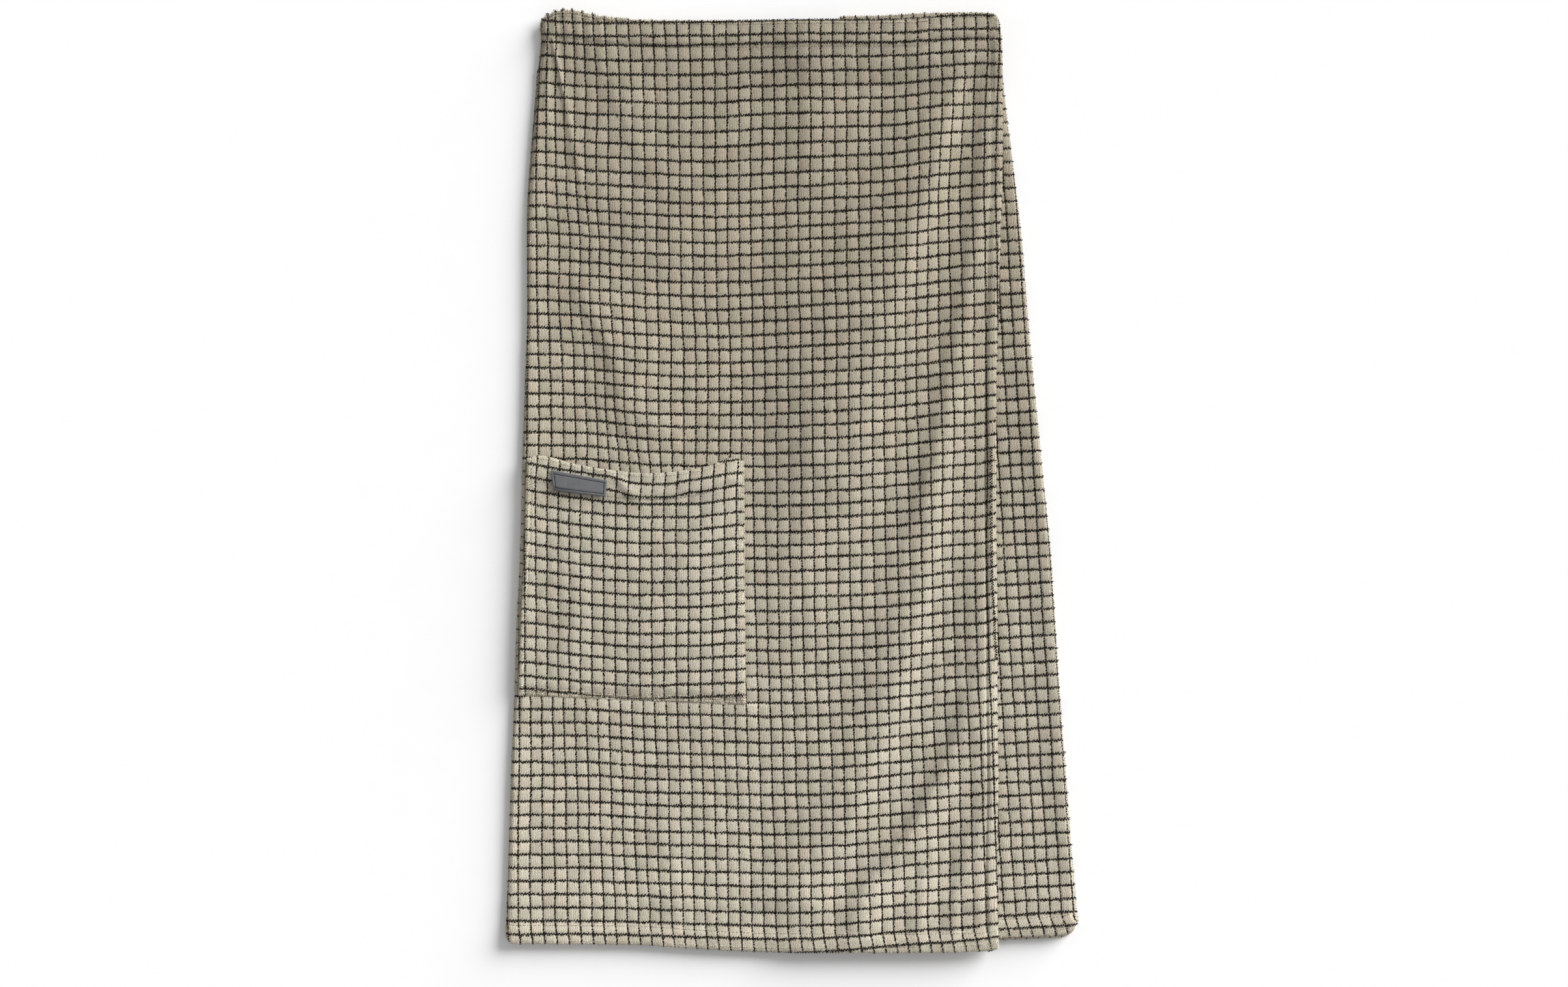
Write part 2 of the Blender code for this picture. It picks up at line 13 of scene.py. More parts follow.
import bmesh
import bpy
import numpy as np
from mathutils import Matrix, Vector

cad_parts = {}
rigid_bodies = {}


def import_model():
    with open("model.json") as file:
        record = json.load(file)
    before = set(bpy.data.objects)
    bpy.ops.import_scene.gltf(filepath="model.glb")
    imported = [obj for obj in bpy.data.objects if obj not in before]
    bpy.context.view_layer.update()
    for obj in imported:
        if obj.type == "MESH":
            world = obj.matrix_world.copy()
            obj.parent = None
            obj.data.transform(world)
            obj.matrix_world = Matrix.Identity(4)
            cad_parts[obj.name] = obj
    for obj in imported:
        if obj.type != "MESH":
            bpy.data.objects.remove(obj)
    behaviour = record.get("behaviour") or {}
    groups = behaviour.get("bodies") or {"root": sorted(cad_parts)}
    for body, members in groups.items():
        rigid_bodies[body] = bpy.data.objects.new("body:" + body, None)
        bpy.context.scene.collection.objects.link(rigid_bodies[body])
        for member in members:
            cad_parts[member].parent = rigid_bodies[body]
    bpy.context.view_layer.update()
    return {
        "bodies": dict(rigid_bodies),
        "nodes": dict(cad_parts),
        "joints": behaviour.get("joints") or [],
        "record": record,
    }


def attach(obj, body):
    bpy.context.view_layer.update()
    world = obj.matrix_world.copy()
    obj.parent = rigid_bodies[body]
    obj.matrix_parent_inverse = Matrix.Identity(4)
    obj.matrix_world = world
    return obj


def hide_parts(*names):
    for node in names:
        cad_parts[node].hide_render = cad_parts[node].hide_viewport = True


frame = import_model()

MM = 0.001
PIXEL = 0.000595  # size of a pixel of the photograph on the cloth


def table(columns, *rows, plain=0):
    """Rows with named columns: the first few plain numbers, the others millimetres, kept in metres."""
    Row = namedtuple("Row", columns)
    return [Row(*row[:plain], *(round(size * 100) / 100000 for size in row[plain:])) for row in rows]


# ---------------------------------------------------------------- the solids' form, repeated from the part

CLOTH = 0.0027
HEM = 0.0046
GAP = 0.0003
NOSE = 0.0022

WAIST_HEM = 0.024
FOOT_HEM = 0.017
FLAP_HEM = 0.0095
POCKET_HEM = 0.024
POCKET_TURN = 0.005
POCKET_TURN_SHARE = 0.7
STITCH_RISE = 0.15
BESIDE_STITCH_RISE = 0.22
STITCH_PULL = 0.004
HEM_TAIL = 0.012

WAIST_Y = 0.4223
FOOT = 0.8450
WAIST_CARRY = 0.036
FOOT_CARRY = 0.039
CARRY_FADE = 0.027

FOLD_SPARE = 0.0013
ROLL = 0.0018
ROLL_WIDTH = 0.011
LAP_ROLL = 0.0014
LAP_ROLL_FROM = 0.15  # how far down it starts to stand up
LAP_ROLL_FULL = 0.35
STEP_START = 0.052
STEP_END = 0.021

POCKET_GAPE = 0.0034
POCKET_FULL = 4  # how squarely the pocket swells between its sides
POCKET_FLAT = 0.022
POCKET_CLEAR = 0.004
POCKET_RIGHT_TOP = -0.0449
POCKET_RIGHT_FOOT = -0.0431
POCKET_FOOT_LEFT = 0.6168
POCKET_FOOT_RIGHT = 0.6252

LABEL_THICK = 0.0012
LABEL_REACH = 0.0035

GATHER_STEP = 0.0055
GATHER_WIDTH = 0.066
GATHER_HEIGHT = 0.0009
GATHER_DEPTH = 0.050
GATHER_FADE = 0.012

SIDES = table(
    "down left edge right",
    (0, -230.8, 188, 186.2), (18, -229.2, 190.6, 189.2), (54, -232.3, 191.3, 191.9),
    (125, -238.3, 191.6, 200.5), (196, -242.3, 189.5, 208.8), (268, -242.7, 187.7, 214.5),
    (339, -244.8, 185.7, 221), (411, -247.2, 185.6, 228.2), (482, -249, 185.9, 235.3),
    (553, -252.4, 186.8, 240.1), (625, -254.6, 186.7, 244.8), (696, -257.7, 187.5, 250.2),
    (768, -260, 186.3, 255.6), (839, -262.2, 187.7, 262.2),
)
SLUMPS = table(
    "down out",
    (0, 0.8), (20, 1.4), (54, 2), (150, 2), (260, 0.6), (400, 0), (850, 0),
)
LAP_EDGES = table(
    "down x",
    (0, 43), (200, 36), (500, 37), (850, 42),
)
FRONT_WAIST = table(
    "x at",
    (-232, -3), (-224.6, 2.2), (-215, 6.6), (-205.6, 7.5), (-193, 5.6), (-178, 2.5), (-159.2, 0.2),
    (-90, -1), (40, -0.4), (108.6, -0.3), (132.4, 3), (148, 5), (180, 5.2), (185, 3), (189, -3),
)
BACK_WAIST = table(
    "x at",
    (-234, -4.5), (-225, 0.5), (-210, 6), (-193, 4.5), (-159.2, -1.2), (40, -1.8), (170, 3), (180, 1),
    (189, -6),
)
LAP_WAIST = table(
    "x at",
    (40, 2.8), (80, 3.4), (120, 5.6), (170, 6.2), (180, 3), (189, -5),
)
FRONT_FOOT = table(
    "x at",
    (-263, 839.5), (-256, 844), (-150, 844.8), (-70, 849.5), (-20, 851.4), (108.6, 851.7), (178, 850),
    (188, 848),
)
BACK_FOOT = table(
    "x at",
    (-263, 837.5), (-256, 840.5), (-150, 842), (100, 844), (210, 840.4), (244, 838.8), (254.5, 835),
    (258, 830.5), (261.5, 824),
)
LAP_FOOT = table(
    "x at",
    (40, 842), (180, 839), (215, 837.8), (243, 836.5), (254.5, 832.8), (258, 828.8), (261.5, 822.5),
)
POCKET_MOUTH = table(
    "x at",
    (-244, 402), (-231.8, 398.4), (-200.8, 405.8), (-165.1, 411.7), (-129.4, 414.7), (-105.6, 412.9),
    (-75.9, 407.6), (-56, 400.8), (-44.9, 403),
)
LABEL_CORNERS = table(
    "x down",
    (-220.7, 411.3), (-169.1, 420.9), (-170.8, 436), (-218.1, 430.5),
)
POCKET_TOP = POCKET_MOUTH[1].at

# ---------------------------------------------------------------- what only the looks have

FLAP_GROOVE = table(
    "down depth",
    (0, 0.2), (280, 0.4), (360, 0.9), (560, 1.2), (680, 1), (740, 0.5), (840, 0.3),
)
# The front's soft folds: the line of their crest, how wide they are to its left and right, and their height
FOLD = "down x left right height"
FOLDS = {
    "upper right": table(
        FOLD,
        (18, 160, 40, 8, 0), (54, 150, 42, 10, 4.5), (100, 137, 48, 13, 7.8), (160, 119, 52, 16, 9.8),
        (210, 100, 60, 22, 9.4), (256, 85, 60, 30, 8.6), (303, 72, 55, 34, 7.8), (345, 56, 50, 34, 6.4),
        (400, 48, 45, 30, 3.6), (460, 42, 40, 26, 0),
    ),
    "long right": table(
        FOLD,
        (30, 178, 8, 9, 0), (75, 177, 9, 9, 2), (150, 173.5, 11, 10, 3.4), (214, 166.5, 12, 12, 4),
        (256, 159, 12, 14, 3.6), (303, 150, 12, 18, 3.6), (345, 144, 13, 20, 4.6),
        (398, 132.5, 14, 19, 6.4), (434, 127, 18, 18, 7.6), (482, 120, 26, 18, 6.8),
        (530, 113, 34, 18, 6.6), (600, 95, 38, 18, 6.4), (666, 74, 38, 18, 6.2), (708, 58.5, 36, 18, 6),
        (750, 42, 34, 18, 4.4), (785, 14, 30, 20, 2.6), (820, -10, 30, 20, 0),
    ),
    "foot right": table(
        FOLD,
        (600, 164, 10, 24, 0), (648, 155, 12, 36, 5), (705, 130, 12, 22, 7.6), (750, 105, 12, 22, 8),
        (785, 74, 13, 22, 6.4), (820, 60, 13, 20, 3.8), (846, 52, 13, 18, 0),
    ),
    "beside the flap": table(
        FOLD,
        (440, 176, 14, 10, 0), (500, 175.5, 18, 10, 3), (580, 174.5, 20, 12, 4.8),
        (640, 175, 19, 12, 4.6), (700, 175, 15, 12, 2.4), (750, 171, 14, 13, 3),
        (800, 169, 14, 14, 4.2), (846, 169, 14, 14, 0),
    ),
    "above the pocket": table(
        FOLD,
        (225, -200, 9, 22, 0), (262, -185, 10, 30, 1.5), (310, -162, 10, 34, 2.1),
        (363, -151, 10, 34, 1.9), (400, -141, 10, 30, 0),
    ),
    "waist left": table(
        FOLD,
        (22, -178, 9, 24, 0), (55, -167, 9, 26, 1.2), (110, -143, 10, 28, 1.3), (150, -130, 12, 28, 0),
    ),
    "waist middle": table(
        FOLD,
        (20, 15, 9, 30, 0), (60, 16, 9, 34, 1.5), (125, 16.5, 10, 34, 1.5), (175, 15, 12, 34, 0),
    ),
    "below the pocket": table(
        FOLD,
        (690, -120, 20, 14, 0), (740, -113, 20, 12, 1.3), (800, -106, 18, 10, 1.5),
        (835, -100, 18, 10, 0),
    ),
}
POCKET_FOLDS = {
    "right of its middle": table(
        FOLD,
        (425, -60, 12, 7, 0), (455, -66.5, 16, 8, 1.6), (492, -96, 18, 9, 1.8), (525, -118, 18, 10, 0),
    ),
    "left": table(
        FOLD,
        (480, -202, 12, 14, 0), (530, -200, 14, 14, 1), (585, -202, 14, 14, 0.9),
        (612, -205, 12, 12, 0),
    ),
    "beside the label": table(
        FOLD,
        (414, -160, 5, 6, 0), (425, -154, 5, 6, 2.2), (438, -144, 6, 7, 1.4), (450, -134, 7, 8, 0),
    ),
}
# Soft creases too fine for the solids
CREASE = "down x width height"
CREASES = {
    "left corner": table(
        CREASE,
        (10, -222.5, 2.6, 0), (30, -217, 2.6, 1.4), (75, -207.5, 3, 1.8), (115, -200, 3.4, 1.4),
        (165, -189.5, 4, 0),
    ),
    "left corner, outer": table(
        CREASE,
        (15, -231, 3, 0), (45, -226.5, 3, 1), (90, -223.5, 4, 0.8), (150, -219, 5, 0),
    ),
    "hem flute 1": table(
        CREASE,
        (740, 131, 8, 0), (780, 123, 8, 1.6), (815, 116, 8, 2.2), (845, 112, 8, 0),
    ),
    "hem flute 2": table(
        CREASE,
        (740, 160, 8, 0), (780, 154, 8, 1.8), (815, 148, 8, 2.2), (845, 145, 8, 0),
    ),
    "middle": table(
        CREASE,
        (300, 30, 14, 0), (400, 20, 16, 1.2), (520, 16, 16, 0.8), (600, 10, 16, 0),
    ),
}

# The check: where some of its column lines run, from the left, at a distance down
FRONT_COLUMNS = table(
    "down c0 c4 c7 c11 c19 c27 c34 c40",
    (2, -236.5, -210.3, -182.4, -139.5, -49.7, 36.6, 113.9, 177.6),
    (18, -239.5, -208.5, -181.2, -138.3, -49.7, 36.6, 113.9, 177.6),
    (71, -241.3, -208, -178.2, -136.6, -49.1, 38.4, 114.5, 175.2),
    (137, -243.6, -205, -178.2, -135.4, -49.1, 38.4, 115.1, 174.6),
    (220, -244.2, -204.4, -176.4, -134.2, -48.5, 38.4, 113.3, 176.4),
    (280, -243.6, -202.6, -174.6, -133.6, -47.3, 40.2, 112.8, 176.4),
    (339, -243, -200.8, -171.1, -132.4, -46.1, 40.2, 113.3, 175.8),
    (399, -243, -199, -167.5, -130, -46.7, 40.8, 115.1, 177),
    (518, -241.3, -199, -167.5, -128.8, -44.9, 41.9, 116.9, 177),
    (637, -239.5, -199, -167.5, -125.8, -41.9, 44.9, 118.1, 180.6),
    (696, -239.5, -197.2, -166.3, -124.1, -40.2, 47.3, 120.5, 183),
    (756, -240.1, -196.1, -164.5, -122.9, -38.4, 47.9, 123.5, 185.3),
    (850, -238.9, -194.3, -162.1, -119.3, -36.6, 49.7, 124.1, 189.5),
)
# How far aside some column lines bend between those, where the cloth swells and sinks
DRIFTS = table(
    "down c0 c5 c9 c15 c19 c23 c27 c31 c34 c37 c40",
    (0, 0, 0, 0, 0, 0, 0, 0, 0, 0, 0, 0), (70, 0, -1, 0, 0.5, 0, -0.3, 0, -0.5, 0, 1.5, 0),
    (110, 0, -2.5, 0, 0, 0, -0.3, 0, -1, 0, -0.3, 0), (160, 0, -2, -0.4, 0, 0, -0.8, 0, 0, 0, -2.6, 0),
    (205, 0, 1, -0.8, 0.3, 0, -0.4, 0, 1, 0, -1.8, 0),
    (255, 0, -0.6, -1.1, 0.4, 0, -1.1, 0, 2.1, 0, -0.4, 0),
    (300, 0, 1.5, -0.4, 2.1, 0, -0.9, 0, 2.2, 0, 0.4, 0),
    (340, 0, 1.2, -2.5, 1.6, 0, -1.1, 0, 1.5, 0, 2, 0),
    (375, 0, 1.2, -2.7, 1.2, 0, -0.9, 0, 0.6, 0.2, 1.8, 0),
    (420, 0, 0, 0, 0, 0, -0.3, 0, 0.2, 0.7, 0.2, 0), (520, 0, 0, 0, 0, 0, -0.5, 0, 0.4, 1.2, -0.5, 0),
    (580, 0, 0, 0, 0, 0, -0.7, 0, 1.4, 0.9, 0, 0), (640, 0, 0, 0, 0, 0, 0, 0, 0.9, 0, 0.9, 0),
    (700, 0, 0.2, 0.4, 0.4, 0, -0.3, 0, -1, 0, 0.8, 0),
    (755, 0, 0, -0.5, 0.3, 0, 1, 0, -1.2, -0.6, -0.8, 0),
    (805, 0, 0.8, 0.9, -0.6, 0, 0.7, 0, 0, -0.7, -1.9, 0),
    (850, 0, 0.3, 0.5, -0.8, 0, 0.8, 0, 1, -0.6, -1.4, 0),
)
# The check's rows: how far down a numbered line is in the middle, and how much lower at each of FRONT_ROWS_AT
FRONT_ROWS = table(
    "number down xa xb xc xd xe xf xg xh xi xj",
    (0, 0.8, 1, 2.4, 1.4, 0.8, 0, 0, -0.6, -4.6, -4.8, -3.9),
    (1, 13.3, 0.1, 2.3, 1.8, 1.1, 0, -0.2, -0.8, -4, -4.4, -4),
    (2, 21.2, -0.9, 2.3, 2.2, 1.5, 0, -0.2, -0.4, -2.5, -3.3, -2.8),
    (3, 34.5, -1.8, 2.2, 2.6, 1.8, 0, -0.6, -1.2, -4.4, -5.6, -4.7),
    (6, 72.6, -2.6, 1, 2.4, 2.8, 0, -0.6, -2, -7, -8, -8.1),
    (12, 153.5, -8.3, -3, -1.4, 1.8, 0, -3, -6.4, -13, -15, -16.6),
    (18, 225.8, -7.1, -3.6, -1.2, 1.7, 0, -2.8, -5.9, -12.1, -14.4, -15.7),
    (24, 299.9, -6.5, -4.2, -1, 1.6, 0, -3, -7.1, -13.7, -15.8, -17.1),
    (33, 408.2, -7.7, -6, -3, -0.4, 0, -2.4, -7.1, -13.1, -15.5, -17.7),
    (45, 552.2, -7.1, -6, -3.6, -1, 0, -1.8, -5.4, -11.9, -13.7, -16.7),
    (54, 660.5, -6.5, -6, -3.6, -1.2, 0, -1.8, -6.6, -11.9, -13.5, -15.6),
    (69, 839.5, -4.2, -4.2, -3.6, -1, 0, -1.8, -7.1, -10.7, -13.3, -14.8),
    plain=1,
)
FRONT_ROWS_AT = (-0.2250, -0.1770, -0.1480, -0.0650, -0.0220, 0.0370, 0.0970, 0.1490, 0.1740, 0.1850)

COLUMN = 0.0107  # the check's usual pitch across
ROW = 0.01211  # and down
LAP_FIRST_ROW = -0.0031
LAP_ROW = 0.01208
LAP_ROW_LEAN = -0.059
LAP_COLUMN_X = 0.1925
LAP_COLUMN_DOWN = 0.6367
LAP_COLUMN_LEAN = 0.0635
LAP_COLUMN = 0.01053

POCKET_COLUMN_X = -0.2442
POCKET_COLUMN = 0.01073
POCKET_ROWS = table(
    "x first pitch",
    (-244, 441.2, 12.14), (-218.7, 445.6, 12), (-170, 452.2, 11.87), (-130, 454.3, 11.85),
    (-95, 454.3, 11.75), (-52.1, 449.8, 11.95),
)
MOUTH_SAGS = table(
    "x lower",
    (-190, 0), (-169, 0.6), (-148, 4.8), (-137, 5.8), (-115, 5.6), (-94, 1.5), (-70, 0),
)
POCKET_BOW = table(
    "number aside",
    (0, -0.4), (1, -1), (3, -2), (5, -3.1), (7, -3.5), (9, -3.1), (13, -1.5), (16, -0.6), (19, -0.3),
    plain=1,
)

SLOW_STEP_START = 0.078
FOLDS_START = 0.004  # how far in from the left fold the others are all there
FLAP_GROOVE_WIDTH = 0.0012
PRESSED_EDGE = 0.0060  # how far in from the pocket's side its turned edge is pressed thinner
PRESSED_FOOT = 0.0120  # and from its foot
PRESSED_SHARE = 0.66
FOOT_REST = 0.0015  # how far the front comes up to meet the pocket's stitched foot
FOOT_REST_RISE = (-0.0020, 0.0005)  # how far below the pocket's foot it starts, and is all there
FOOT_REST_FADE = (0.0010, 0.045)  # and between which distances it is lost again
FOOT_REST_ASIDE = (-0.004, 0.034)  # to the right of the pocket, too

FOOT_LEAN = 0.32  # squares that the check's columns lean to the right in the foot's hem
FOOT_LEAN_LEFT = 0.14  # and those in the left half
FOOT_LEAN_FROM = 0.022

LINE_DEPTH = 0.00055
LINE_WIDTH = 0.0011  # of a column line's sunk trough, to each side
LINE_WIDTH_DOWN = 0.0012
CELL_UNEVEN = 0.00014
CELL_DOME = 0.00018
POINT_UNEVEN = 0.00007
GRAIN = (61.7, 91.3, 37.1, 53.9)  # waves to a square that make it
WOBBLE = 0.00042


def curve(rows, key, value):
    """A smooth function through the rows of a table, with no swing past them, and level beyond its ends."""
    keys = np.array([getattr(row, key) for row in rows])
    values = np.array([getattr(row, value) for row in rows])
    steps = np.diff(values) / np.diff(keys)
    before, after = np.append(steps[0], steps), np.append(steps, steps[-1])
    least = 2 * np.minimum(abs(before), abs(after))
    slopes = np.where(before * after > 0, np.clip(np.gradient(values, keys), -least, least), 0)

    def at(place):
        place = np.clip(place, keys[0], keys[-1])
        i = np.minimum(np.searchsorted(keys, place, side="right") - 1, len(keys) - 2)
        span = keys[i + 1] - keys[i]
        t = (place - keys[i]) / span
        rise = (1 + 2 * t) * (1 - t) ** 2 * values[i] + t * t * (3 - 2 * t) * values[i + 1]
        lean = t * (1 - t) ** 2 * slopes[i] - t * t * (1 - t) * slopes[i + 1]
        return rise + span * lean

    return at


def ramp(value, start, end):
    """0 before start, 1 after end, smooth between them."""
    t = np.clip((value - start) / (end - start), 0, 1)
    return t * t * (3 - 2 * t)


def edge_curves(*tables):
    return [curve(rows, "x", "at") for rows in tables]


left_at, edge_at, right_at = [curve(SIDES, "down", side) for side in ("left", "edge", "right")]
slump_at = curve(SLUMPS, "down", "out")
lap_edge_at = curve(LAP_EDGES, "down", "x")
front_waist_at, back_waist_at, lap_waist_at = edge_curves(FRONT_WAIST, BACK_WAIST, LAP_WAIST)
front_foot_at, back_foot_at, lap_foot_at = edge_curves(FRONT_FOOT, BACK_FOOT, LAP_FOOT)
[pocket_mouth_at] = edge_curves(POCKET_MOUTH)
pocket_first_at = curve(POCKET_ROWS, "x", "first")
pocket_pitch_at = curve(POCKET_ROWS, "x", "pitch")
mouth_sag_at = curve(MOUTH_SAGS, "x", "lower")
pocket_bow_at = curve(POCKET_BOW, "number", "aside")
flap_groove_at = curve(FLAP_GROOVE, "down", "depth")


def hem_share(inwards, depth):
    """How much of a hem's extra thickness is there, this far in from the edge: the stitching pulls it in."""
    places = (depth - STITCH_PULL, depth - 0.001, depth, depth + 0.001, depth + STITCH_PULL, depth + HEM_TAIL)
    return np.interp(inwards, places, (1, 0.55, STITCH_RISE, 0.3, BESIDE_STITCH_RISE, 0))


def nose_share(inwards, size=NOSE):
    """How much of the wall's thickness is left this far in from its rounded edge."""
    t = 1 - np.clip(inwards / size, 0, 1)
    return np.sqrt(1 - t * t)


def thickness(from_waist, from_foot, across=0):
    """Thickness of a panel's wall with its hems, and how much of it is left by the rounding of its edges."""
    share = np.maximum(hem_share(from_waist, WAIST_HEM), hem_share(from_foot, FOOT_HEM))
    share = 1 - (1 - share) * (1 - across)
    return CLOTH + (HEM - CLOTH) * share, np.minimum(nose_share(from_waist), nose_share(from_foot))


def level(down):
    """Thickness of a whole layer as the next one feels it: its hems carry the cloth a little way in."""
    places = (WAIST_CARRY, WAIST_CARRY + CARRY_FADE, FOOT - FOOT_CARRY - CARRY_FADE, FOOT - FOOT_CARRY)
    return np.interp(down, places, (HEM, CLOTH, CLOTH, HEM))


def fold_reach(down):
    """Radius of the outside of a side fold."""
    return level(down) + FOLD_SPARE


def left_spine(down):
    """Where the upper cloth starts to turn down at the left fold, which is also the pocket's left side."""
    return left_at(down) + fold_reach(down)


def right_spine(down):
    return right_at(down) - fold_reach(down)


def away_from_pocket(x, down):
    """0 under the pocket, 1 well clear of it."""
    beyond = np.maximum(np.maximum(x - POCKET_RIGHT_FOOT, POCKET_TOP - down), down - POCKET_FOOT_RIGHT)
    return ramp(beyond, POCKET_CLEAR, POCKET_CLEAR + POCKET_FLAT)


def ridges(family, x, down, left="left", right="right"):
    """Height of a family of folds at places on the cloth."""
    lift = np.zeros(np.broadcast(x, down).shape)
    for rows in family.values():
        inside = (down > rows[0].down) & (down < rows[-1].down)
        off = x - curve(rows, "down", "x")(down)
        wide = np.where(off < 0, curve(rows, "down", left)(down), curve(rows, "down", right)(down))
        height = np.maximum(curve(rows, "down", "height")(down), 0)
        lift = lift + inside * height * np.exp(-((off / wide) ** 2))
    return lift


def gathers(x, down):
    """Small ruffles that the waist's elastic pulls up beside the left fold."""
    inwards = x - left_spine(down)
    along = ramp(inwards, 0, GATHER_FADE) * (1 - ramp(inwards, GATHER_WIDTH - GATHER_FADE, GATHER_WIDTH))
    wave = 0.5 - 0.5 * np.cos(math.pi * inwards / GATHER_STEP)
    return GATHER_HEIGHT * along * wave * (1 - ramp(down, GATHER_FADE, GATHER_DEPTH))


def roll(inwards, height, down):
    """Extra height along a side fold, less where thick hems are folded."""
    soft = (CLOTH / level(down)) ** 2
    return height * soft * np.exp(-((np.maximum(inwards, 0) / ROLL_WIDTH) ** 2))


def under_lap(x, down):
    height = LAP_ROLL * ramp(down, LAP_ROLL_FROM, LAP_ROLL_FULL)
    return level(down) + GAP + roll(right_spine(down) - x, height, down)


def onto_lap(x, down, start):
    """0 left of the lap's hidden edge, 1 where the front lies on the lap."""
    return ramp(x, lap_edge_at(down) - start, lap_edge_at(down) - STEP_END)


def under_front_plain(x, down):
    """The front panel's inner side without its folds, as it lies under the pocket."""
    rest = (level(down) + GAP) * (1 + onto_lap(x, down, STEP_START))
    return rest + roll(x - left_spine(down), ROLL, down) + gathers(x, down)


def foot_rest(x, down):
    """The front's slow rise from below to the pocket's stitched foot, so that little of a step is left."""
    below = down - pocket_foot(x)
    along = ramp(below, *FOOT_REST_RISE) * (1 - ramp(below, *FOOT_REST_FADE))
    return FOOT_REST * along * (1 - ramp(x - pocket_right(down), *FOOT_REST_ASIDE))


def under_front(x, down):
    """The same with a slower rise on to the lap, the folds and the fine creases."""
    rise = onto_lap(x, down, SLOW_STEP_START) - onto_lap(x, down, STEP_START)
    lifts = ridges(FOLDS, x, down) + ridges(CREASES, x, down, "width", "width") + rise * (level(down) + GAP)
    lifts = lifts * away_from_pocket(x, down) + foot_rest(x, down)
    return under_front_plain(x, down) + lifts * ramp(x - left_spine(down), 0, FOLDS_START)


def pocket_right(down):
    along = (down - POCKET_MOUTH[-1].at) / (POCKET_FOOT_RIGHT - POCKET_MOUTH[-1].at)
    return POCKET_RIGHT_TOP + (POCKET_RIGHT_FOOT - POCKET_RIGHT_TOP) * along


def pocket_foot(x):
    along = (x - POCKET_MOUTH[0].x) / (POCKET_MOUTH[-1].x - POCKET_MOUTH[0].x)
    return POCKET_FOOT_LEFT + (POCKET_FOOT_RIGHT - POCKET_FOOT_LEFT) * along


def pocket_lift(x, down):
    """The pocket's inner side without its folds: it stands off most at its mouth, not at its sides."""
    left, right, mouth = left_spine(down), pocket_right(down), pocket_mouth_at(x)
    across = np.clip((x - left) / (right - left), 0, 1)
    along = np.clip((down - mouth) / (pocket_foot(x) - mouth), 0, 1)
    gape = POCKET_GAPE * (1 - (2 * across - 1) ** POCKET_FULL) * (1 - along**3)
    return under_front_plain(x, down) + CLOTH + (GAP + gape)


def pocket_thick(x, down):
    from_side = np.minimum(np.minimum(x - left_spine(down), pocket_right(down) - x), pocket_foot(x) - down)
    mouth_hem = hem_share(down - pocket_mouth_at(x), POCKET_HEM)
    side_hem = POCKET_TURN_SHARE * hem_share(from_side, POCKET_TURN)
    return CLOTH + (HEM - CLOTH) * np.maximum(mouth_hem, side_hem)


def pocket_pressed(x, down):
    """The pocket's thickness as it looks: stitched down, so thinner at the edge of its side and its foot."""
    inwards = np.minimum((pocket_right(down) - x) / PRESSED_EDGE, (pocket_foot(x) - down) / PRESSED_FOOT)
    return pocket_thick(x, down) * (1 - PRESSED_SHARE * (1 - ramp(inwards, 0, 1)))


# ---------------------------------------------------------------- the check

chance = np.random.default_rng(7)
CHANCES_ACROSS = 64
CHANCES_DOWN = 96
CHANCES = chance.random((CHANCES_ACROSS, CHANCES_DOWN, 4))


def lattice(c, r, channel):
    """Smooth noise with one random value at each crossing of the check, from -1 to 1."""
    i, j = np.floor(c).astype(int), np.floor(r).astype(int)
    s, t = c - i, r - j
    grid = CHANCES[:, :, channel] * 2 - 1
    i, after = i % CHANCES_ACROSS, (i + 1) % CHANCES_ACROSS
    j, below = j % CHANCES_DOWN, (j + 1) % CHANCES_DOWN
    upper = grid[i, j] * (1 - s) + grid[after, j] * s
    lower = grid[i, below] * (1 - s) + grid[after, below] * s
    return upper * (1 - t) + lower * t


def unsteady(c, r, free):
    """How far the check's lines wander, across and down, where free is 1."""
    return [WOBBLE * lattice(c, r, channel) * free for channel in (0, 1)]


def relief(c, r):
    """How far the cloth lies below the top of its pile: deepest along the check's lines. Never above it."""
    across, along = abs(c - np.round(c)) * COLUMN, abs(r - np.round(r)) * ROW
    sunk = np.maximum(np.exp(-((across / LINE_WIDTH) ** 2)), np.exp(-((along / LINE_WIDTH_DOWN) ** 2)))
    square = CHANCES[np.floor(c).astype(int) % CHANCES_ACROSS, np.floor(r).astype(int) % CHANCES_DOWN, 3]
    grain = np.sin(c * GRAIN[0] + r * GRAIN[1]) * np.cos(c * GRAIN[2] - r * GRAIN[3])
    dome = CELL_DOME * (1 - np.clip(np.minimum(across / COLUMN, along / ROW) * 2, 0, 1)) ** 2
    return -(LINE_DEPTH * sunk + CELL_UNEVEN * square * (1 - sunk) + dome + POINT_UNEVEN * (1 + grain))


def weights_at(keys, places):
    """The share of each key's value at each place on a smooth curve through all the keys."""
    keys = np.asarray(keys, float)
    places = np.clip(places, keys[0], keys[-1])
    each = np.eye(len(keys))
    slopes = np.gradient(each, keys, axis=0)
    i = np.minimum(np.searchsorted(keys, places, side="right") - 1, len(keys) - 2)
    span = keys[i + 1] - keys[i]
    t = (places - keys[i]) / span
    parts = (
        ((1 + 2 * t) * (1 - t) ** 2, each[i]),
        (t * t * (3 - 2 * t), each[i + 1]),
        (span * t * (1 - t) ** 2, slopes[i]),
        (-span * t * t * (1 - t), slopes[i + 1]),
    )
    return sum(share[..., None] * row for share, row in parts)


def net(rows, key, column_keys, rows_at, columns_at):
    """A table's value at places between its rows and between its last columns, which have the column keys."""
    keys = [getattr(row, key) for row in rows]
    values = np.array([row[-len(column_keys) :] for row in rows])
    across, along = weights_at(column_keys, columns_at), weights_at(keys, rows_at)
    return np.einsum("...i,...j,ij->...", along, across, values)


